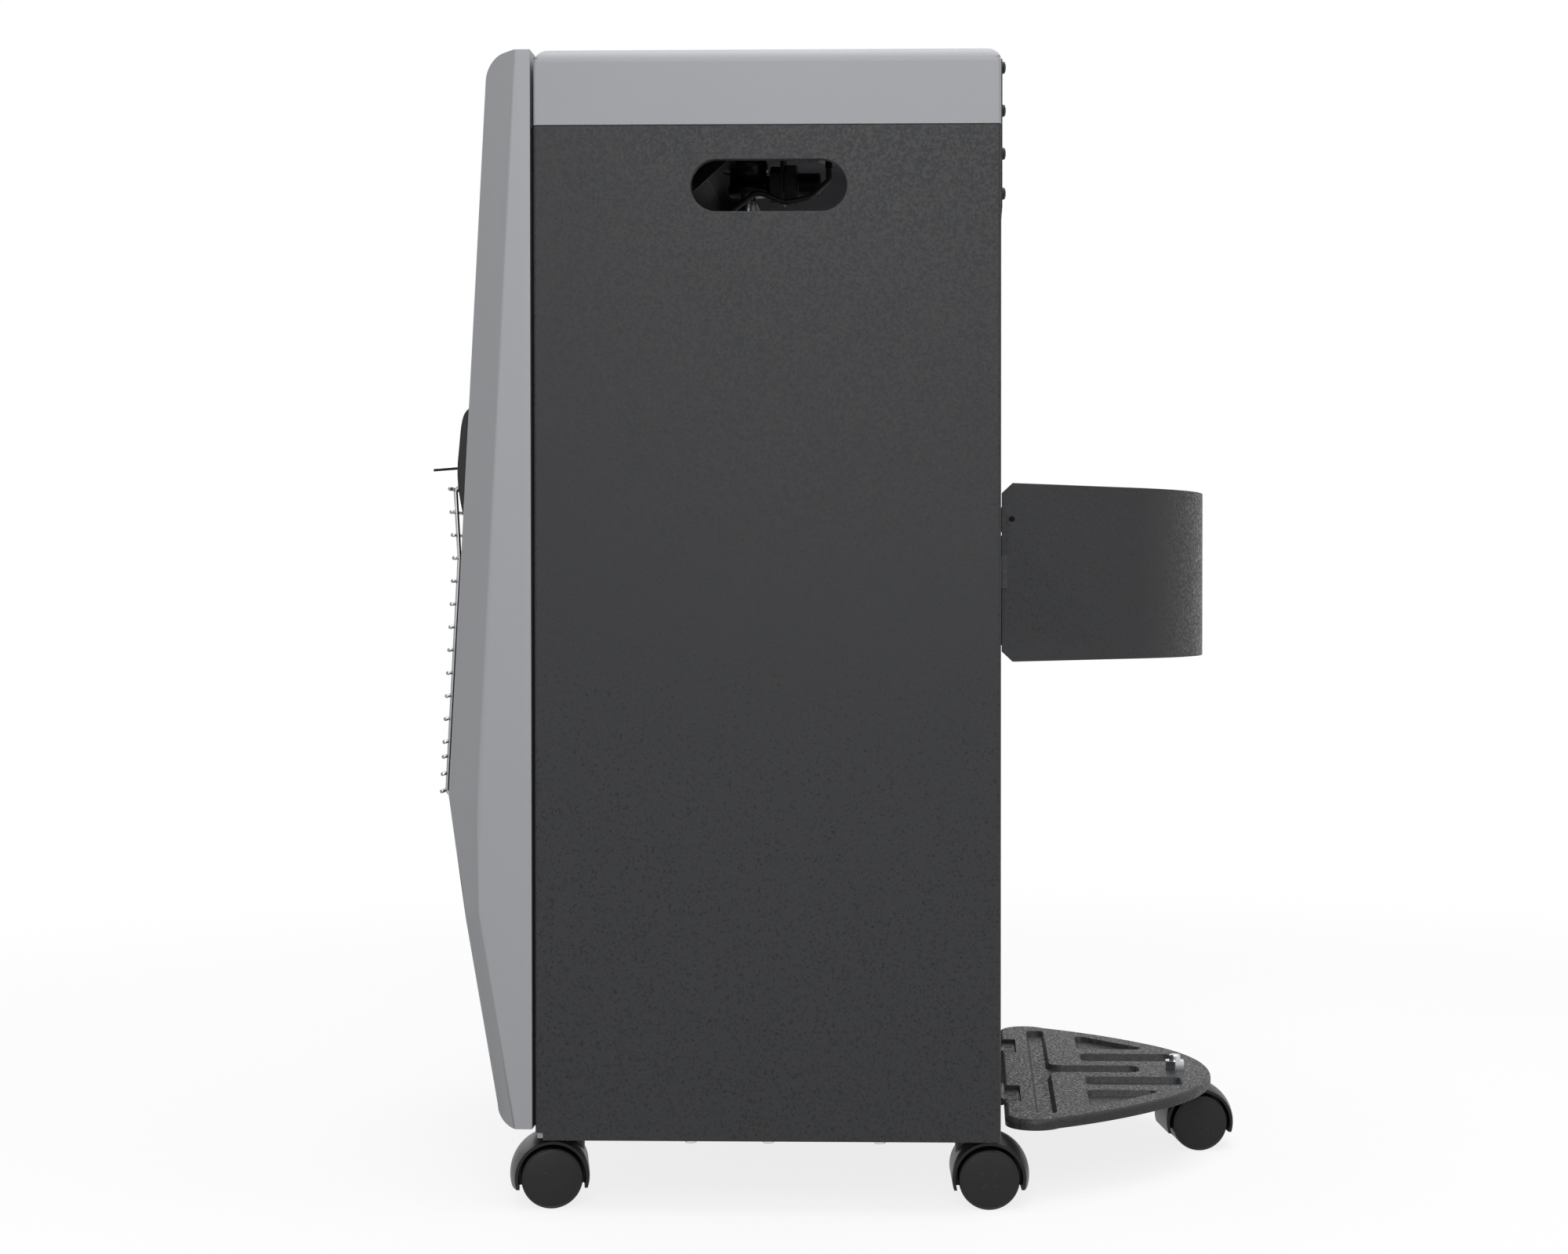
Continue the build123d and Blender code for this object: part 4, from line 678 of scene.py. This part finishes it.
def arcThrough(first, middle, last, steps):  # points of the circle through three, without the last
    (ax, ay), (bx, by), (cx, cy) = first, middle, last
    scale = 2 * (ax * (by - cy) + bx * (cy - ay) + cx * (ay - by))
    sums = [x * x + y * y for x, y in (first, middle, last)]
    centreX = (sums[0] * (by - cy) + sums[1] * (cy - ay) + sums[2] * (ay - by)) / scale
    centreY = (sums[0] * (cx - bx) + sums[1] * (ax - cx) + sums[2] * (bx - ax)) / scale
    radius = math.hypot(ax - centreX, ay - centreY)
    angles = [math.atan2(y - centreY, x - centreX) for x, y in (first, middle, last)]
    sweep = (angles[2] - angles[0]) % (2 * math.pi)
    if (angles[1] - angles[0]) % (2 * math.pi) > sweep:
        sweep -= 2 * math.pi
    turns = [angles[0] + sweep * step / steps for step in range(steps)]
    return [(centreX + radius * math.cos(turn), centreY + radius * math.sin(turn)) for turn in turns]


def roundedLoop(corners, steps=7):  # corners of (x, y, radius), anticlockwise, to a smooth closed loop
    loop = []
    for index, (x, y, radius) in enumerate(corners):
        here = Vector((x, y))
        before = (Vector(corners[index - 1][:2]) - here).normalized()
        after = (Vector(corners[(index + 1) % len(corners)][:2]) - here).normalized()
        if not radius:
            loop.append((x, y))
            continue
        half = before.angle(after) / 2
        reach = radius / math.tan(half)
        weight = math.sin(half)
        start, end = here + before * reach, here + after * reach
        for step in range(steps + 1):
            share = step / steps
            near, far, pull = (1 - share) ** 2, share ** 2, 2 * weight * share * (1 - share)
            spot = (start * near + here * pull + end * far) / (near + pull + far)
            loop.append((spot.x, spot.y))
    return loop


def insetLoop(loop, distance):  # moves an anticlockwise loop inwards, or outwards if negative
    moved = []
    for index, (x, y) in enumerate(loop):
        here = Vector((x, y))
        before = (here - Vector(loop[index - 1])).normalized()
        after = (Vector(loop[(index + 1) % len(loop)]) - here).normalized()
        inward = Vector((-before.y - after.y, before.x + after.x)).normalized()
        stretch = max(0.5, inward.dot(Vector((-after.y, after.x))))
        moved.append(tuple(here + inward * distance / stretch))
    return moved


def stackRings(work, loop, steps):  # steps of (inset, height) in millimetres make a wall round a loop
    rings = []
    for inset, height in steps:
        ring = insetLoop(loop, inset) if inset else loop
        rings.append([work.verts.new((x * mm, y * mm, height * mm)) for x, y in ring])
    for first, second in zip(rings, rings[1:]):
        joinRings(work, first, second)
    return rings[0], rings[-1]


def closeFlat(work, rings, up):  # one flat skin inside the first ring and round the others
    edges = []
    for ring in rings:
        for index, vert in enumerate(ring):
            pair = (vert, ring[(index + 1) % len(ring)])
            edges.append(work.edges.get(pair) or work.edges.new(pair))
    bmesh.ops.triangle_fill(work, use_beauty=True, edges=edges, normal=(0, 0, 1 if up else -1))


def boxMesh(name, across, along, upright):  # a box between pairs of places in millimetres
    work = bmesh.new()
    corners = [work.verts.new((x * mm, y * mm, z * mm)) for x in across for y in along for z in upright]
    bmesh.ops.convex_hull(work, input=corners)
    return closeMesh(work, name)


rearShelf = {  # millimetres behind the cabinet and across, as the part has them
    "back": 110.1, "top": 55.2, "sheet": 1.5, "stemBack": 128.6, "stemRadius": 4.1, "stemSteps": 24,
    "curve": [(159.0, 3.5), (176.0, 21.0), (168.0, 39.0), (143.0, 74.5), (107.0, 111.0)], "tip": 154.0,
    "curveSteps": (14, 18, 56), "rounding": 6.0, "wingRounding": 4.5,
    "bar": [(153.0, 24.0, 6.0), (153.0, 38.0, 6.0), (12.0, 38.0, 9.0), (12.0, 103.0, 8.0)],
    "plain": (43.7, 28.5, 62.0, 130.0),
    "wing": [(76.5, 61.0), (133.0, 61.0), (127.0, 69.0), (84.0, 109.0), (76.5, 109.0)],
    "pocket": (62.0, 116.0, 11.5), "overlap": 0.2, "clear": 1.0, "weld": 0.002, "sharp": 38,
    "rim": [  # inwards from the outline and down from the top, from under the sheet round its rolled edge
        (2.7, 1.5), (1.9, 1.85), (1.5, 2.7), (1.5, 6.7), (1.15, 7.0), (0.35, 7.0), (0, 6.65), (0, 3.2),
        (0.18, 2.1), (0.7, 1.15), (1.45, 0.45), (2.3, 0.1), (3.2, 0),
    ],
    "wall": [(0, 0), (0.35, 0.05), (0.7, 0.25), (1.0, 0.6), (2.6, 3.44), (3.0, 3.84), (3.6, 4.0)],
    "wallOut": 0.8, "underOut": 1.1,  # where the walls start outside a recess, above and below the sheet
}


def shelfLoops():  # the outline, each recess and the hole for the caster's stem
    right = rearShelf["curve"]
    left = [(-x, y) for x, y in reversed(right)]
    ends, sides, middle = rearShelf["curveSteps"]
    outline = arcThrough(*right[:3], ends) + arcThrough(*right[2:], sides)
    outline += arcThrough(right[-1], (0, rearShelf["tip"]), left[0], middle)
    outline += arcThrough(*left[:3], sides) + arcThrough(*left[2:], ends) + [left[-1]]
    bar = rearShelf["bar"]
    recesses = [[(-bar[0][0], *bar[0][1:])] + bar + [(-x, y, radius) for x, y, radius in bar[:0:-1]]]
    inward, wide, near, far = rearShelf["plain"]
    for side in (-1, 1):
        low, high = side * inward - wide / 2, side * inward + wide / 2
        corners = ((low, near), (high, near), (high, far), (low, far))
        recesses.append([(x, y, rearShelf["rounding"]) for x, y in corners])
        wing = [(side * x, y, rearShelf["wingRounding"]) for x, y in rearShelf["wing"]]
        recesses.append(wing[::side])
    turns = [2 * math.pi * step / rearShelf["stemSteps"] for step in range(rearShelf["stemSteps"])]
    radius, back = rearShelf["stemRadius"], rearShelf["stemBack"]
    stem = [(radius * math.cos(turn), back + radius * math.sin(turn)) for turn in turns]
    return outline, [roundedLoop(recess) for recess in recesses], stem


def pressShelf():  # the sheet with its rolled rim, recesses and stem hole, as one closed mesh
    outline, recesses, stem = shelfLoops()
    top, under = rearShelf["top"], rearShelf["top"] - rearShelf["sheet"]
    work = bmesh.new()
    first, last = stackRings(work, outline, [(inset, top - fall) for inset, fall in rearShelf["rim"]])
    tops, unders = [last], [first]
    for recess in recesses:
        start = insetLoop(recess, -rearShelf["wallOut"])
        for rings, level, shift in ((tops, top, 0), (unders, under, rearShelf["underOut"])):
            steps = [(inset - shift, level - fall) for inset, fall in rearShelf["wall"]]
            first, last = stackRings(work, start, steps)
            rings.append(first)
            closeFlat(work, [last], rings is tops)
    first, last = stackRings(work, stem, [(0, top), (0, under)])
    closeFlat(work, tops + [first], True)
    closeFlat(work, unders + [last], False)
    bmesh.ops.remove_doubles(work, verts=work.verts, dist=rearShelf["weld"] * mm)
    bmesh.ops.translate(work, vec=(0, rearShelf["back"] * mm, 0), verts=work.verts)
    return closeMesh(work, "rear_shelf")


def makeShelf():
    mesh = pressShelf()
    sheet, clear, top = rearShelf["sheet"], rearShelf["clear"], rearShelf["top"]
    base = top - rearShelf["wall"][-1][1]
    inside, outside, deep = rearShelf["pocket"]
    front = rearShelf["back"] + rearShelf["curve"][0][1]
    spans = [sorted((side * inside, side * outside)) for side in (-1, 1)]
    for low, high in spans:
        upright = (base - sheet, top - sheet + rearShelf["overlap"])
        tool = boxMesh("pocketTool", (low - sheet, high + sheet), (front, front + deep + sheet), upright)
        mesh = combine(mesh, tool, "UNION")
    for low, high in spans:
        tool = boxMesh("pocketTool", (low, high), (front - clear, front + deep), (base, top + clear))
        mesh = combine(mesh, tool, "DIFFERENCE")
    work = readMesh(mesh)
    bmesh.ops.remove_doubles(work, verts=work.verts, dist=rearShelf["weld"] * mm)
    work.to_mesh(mesh)
    openEdges = sum(1 for edge in work.edges if len(edge.link_faces) != 2)
    work.free()
    piece = addPiece("rear_shelf", "_pressed", mesh)
    smoothFaces(piece, rearShelf["sharp"])
    levelNormals(piece)
    return openEdges


print("shelf pressed, open edges:", makeShelf())


# ---- the arched visor over the burner

visor = {  # millimetres: side edge height, arch, fall to the tip, how far the corners turn back, folded rim
    "edgeTop": 484.9, "arch": 9.4, "fall": 1.4, "cornerBack": 12.5, "cornerPower": 3, "hem": 0.8,
    "sheet": 1.0, "across": 48, "along": 14, "sharp": 40,
}


def makeVisor():
    node = "deflector_visor"
    low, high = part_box(node)
    columns, lines = visor["across"], visor["along"]
    work = bmesh.new()
    rims = []
    for under in (False, True):
        rows = []
        for row in range(lines + 1):
            share = row / lines
            spots = []
            for step in range(columns + 1):
                across = 2 * step / columns - 1
                front = low.y + visor["cornerBack"] * mm * abs(across) ** visor["cornerPower"]
                folded = row == 0 or step in (0, columns)  # the sheet is folded under along its rim
                bow = visor["arch"] * (1 - across * across) - visor["fall"] * (1 - share)
                height = visor["edgeTop"] + bow
                if under:
                    height -= visor["sheet"] + (visor["hem"] if folded else 0)
                spots.append((high.x * across, front + (high.y - front) * share, height * mm))
            rows.append([work.verts.new(spot) for spot in spots])
        for first, second in zip(rows, rows[1:]):
            for step in range(columns):
                work.faces.new([first[step], first[step + 1], second[step + 1], second[step]])
        sides = [row[-1] for row in rows[1:-1]], [row[0] for row in rows[-2:0:-1]]
        rims.append(rows[0] + sides[0] + rows[-1][::-1] + sides[1])
    sheetFaces = len(work.faces)
    joinRings(work, rims[1], rims[0])
    mesh = closeMesh(work, node)
    piece = addPiece(node, "_arched", mesh)
    # the rim band takes the near-black finish, painted shade along the visor's edge
    mesh.materials.append(finishes["heated_edge"])
    for face in mesh.polygons[sheetFaces:]:
        face.material_index = 1
    smoothFaces(piece, visor["sharp"])


makeVisor()


# ---- floor, lamps, world and camera

studio = {
    "floorColour": 0.94, "bounceColour": 0.42, "floorWhite": 0.82, "clearRadius": 0.75, "whiteRadius": 1.7,
    "floorRadius": 30, "floorSteps": 96, "floorRough": 0.9, "worldLevel": 0.26,
    "cameraPlace": (1.7833, 0.0899, 0.4013), "turn": 0.0238, "tilt": 0.0142,
    "lens": 56.45, "sensor": 36.0, "shift": -0.081, "clip": (0.01, 60),
}
softboxes = {  # place, aim, width, height, watts
    "sideBox": ((2.5, 0.1, 1.9), (0.0, 0.0, 0.55), 1.4, 1.2, 27),
    "cameraBox": ((2.8, -0.1, 1.0), (0.0, 0.0, 0.4), 1.4, 1.4, 11),
    "overheadBox": ((0.2, 0.2, 2.6), (0.0, 0.1, 0.4), 2.4, 2.4, 50),
    "farBox": ((-2.4, -1.6, 1.6), (0.0, 0.0, 0.4), 1.8, 1.8, 12),
}


def seenDirectly(tree):  # 1 where the surface is seen, also in a reflection, and 0 where it only gives light
    light = addNode(tree, "ShaderNodeLightPath")
    direct = addMath(tree, "MAXIMUM", light.outputs["Is Camera Ray"], light.outputs["Is Glossy Ray"])
    return addMath(tree, "MAXIMUM", direct, light.outputs["Is Transmission Ray"])


def blendShaders(tree, amount, first, second, end):
    blend = tree.nodes.new("ShaderNodeMixShader")
    tree.links.new(amount, blend.inputs["Fac"])
    tree.links.new(first.outputs[0], blend.inputs[1])
    tree.links.new(second.outputs[0], blend.inputs[2])
    tree.links.new(blend.outputs[0], end.inputs["Surface"])


def makeFloor():
    work = bmesh.new()
    bmesh.ops.create_circle(work, cap_ends=True, radius=studio["floorRadius"], segments=studio["floorSteps"])
    mesh = closeMesh(work, "studioFloor", False)
    floor = bpy.data.objects.new("studioFloor", mesh)
    bpy.context.scene.collection.objects.link(floor)
    finish, tree, shader = newFinish("floorWhite", Roughness=studio["floorRough"], Specular_IOR_Level=0.0)
    place = addNode(tree, "ShaderNodeTexCoord")
    length = addNode(tree, "ShaderNodeVectorMath", {"operation": "LENGTH"})
    tree.links.new(place.outputs["Object"], length.inputs[0])
    spread = addNode(tree, "ShaderNodeMapRange", {"interpolation_type": "SMOOTHSTEP"})
    for key, name in (("From Min", "clearRadius"), ("From Max", "whiteRadius"), ("To Min", "floorWhite")):
        spread.inputs[key].default_value = studio[name]
    tree.links.new(length.outputs["Value"], spread.inputs["Value"])
    direct = seenDirectly(tree)
    shades = [(studio[key],) * 3 + (1,) for key in ("bounceColour", "floorColour")]
    tree.links.new(mixColour(tree, direct, *shades), shader.inputs["Base Color"])
    amount = addMath(tree, "MULTIPLY", direct, spread.outputs["Result"])
    white = addNode(tree, "ShaderNodeEmission", Strength=1.0)
    blendShaders(tree, amount, shader, white, tree.nodes["Material Output"])
    mesh.materials.append(finish)


def makeWorld():
    world = bpy.data.worlds.new("studioWorld")
    bpy.context.scene.world = world
    world.use_nodes = True
    tree = world.node_tree
    tree.nodes.clear()
    dim = addNode(tree, "ShaderNodeBackground", Color=(1, 1, 1, 1), Strength=studio["worldLevel"])
    white = addNode(tree, "ShaderNodeBackground", Color=(1, 1, 1, 1), Strength=1.0)
    blendShaders(tree, seenDirectly(tree), dim, white, tree.nodes.new("ShaderNodeOutputWorld"))


def makeLamps():
    for name, (place, aim, width, height, watts) in softboxes.items():
        light = bpy.data.lights.new(name, "AREA")
        light.shape = "RECTANGLE"
        light.size = width
        light.size_y = height
        light.energy = watts
        lamp = bpy.data.objects.new(name, light)
        bpy.context.scene.collection.objects.link(lamp)
        lamp.location = place
        lamp.rotation_mode = "QUATERNION"
        lamp.rotation_quaternion = (Vector(aim) - Vector(place)).to_track_quat("-Z", "Y")


def makeCamera():
    lens = bpy.data.cameras.new("studioCamera")
    lens.lens = studio["lens"]
    lens.sensor_fit = "HORIZONTAL"
    lens.sensor_width = studio["sensor"]
    lens.shift_x = studio["shift"]
    lens.clip_start, lens.clip_end = studio["clip"]
    camera = bpy.data.objects.new("studioCamera", lens)
    bpy.context.scene.collection.objects.link(camera)
    turn, tilt = studio["turn"], studio["tilt"]
    ahead = Vector((-math.cos(turn) * math.cos(tilt), -math.sin(turn), -math.sin(tilt)))
    camera.location = studio["cameraPlace"]
    camera.rotation_mode = "QUATERNION"
    camera.rotation_quaternion = ahead.to_track_quat("-Z", "Y")
    bpy.context.scene.camera = camera


makeFloor()
makeWorld()
makeLamps()
makeCamera()
bpy.context.scene.view_settings.view_transform = "Standard"
print("studio set")
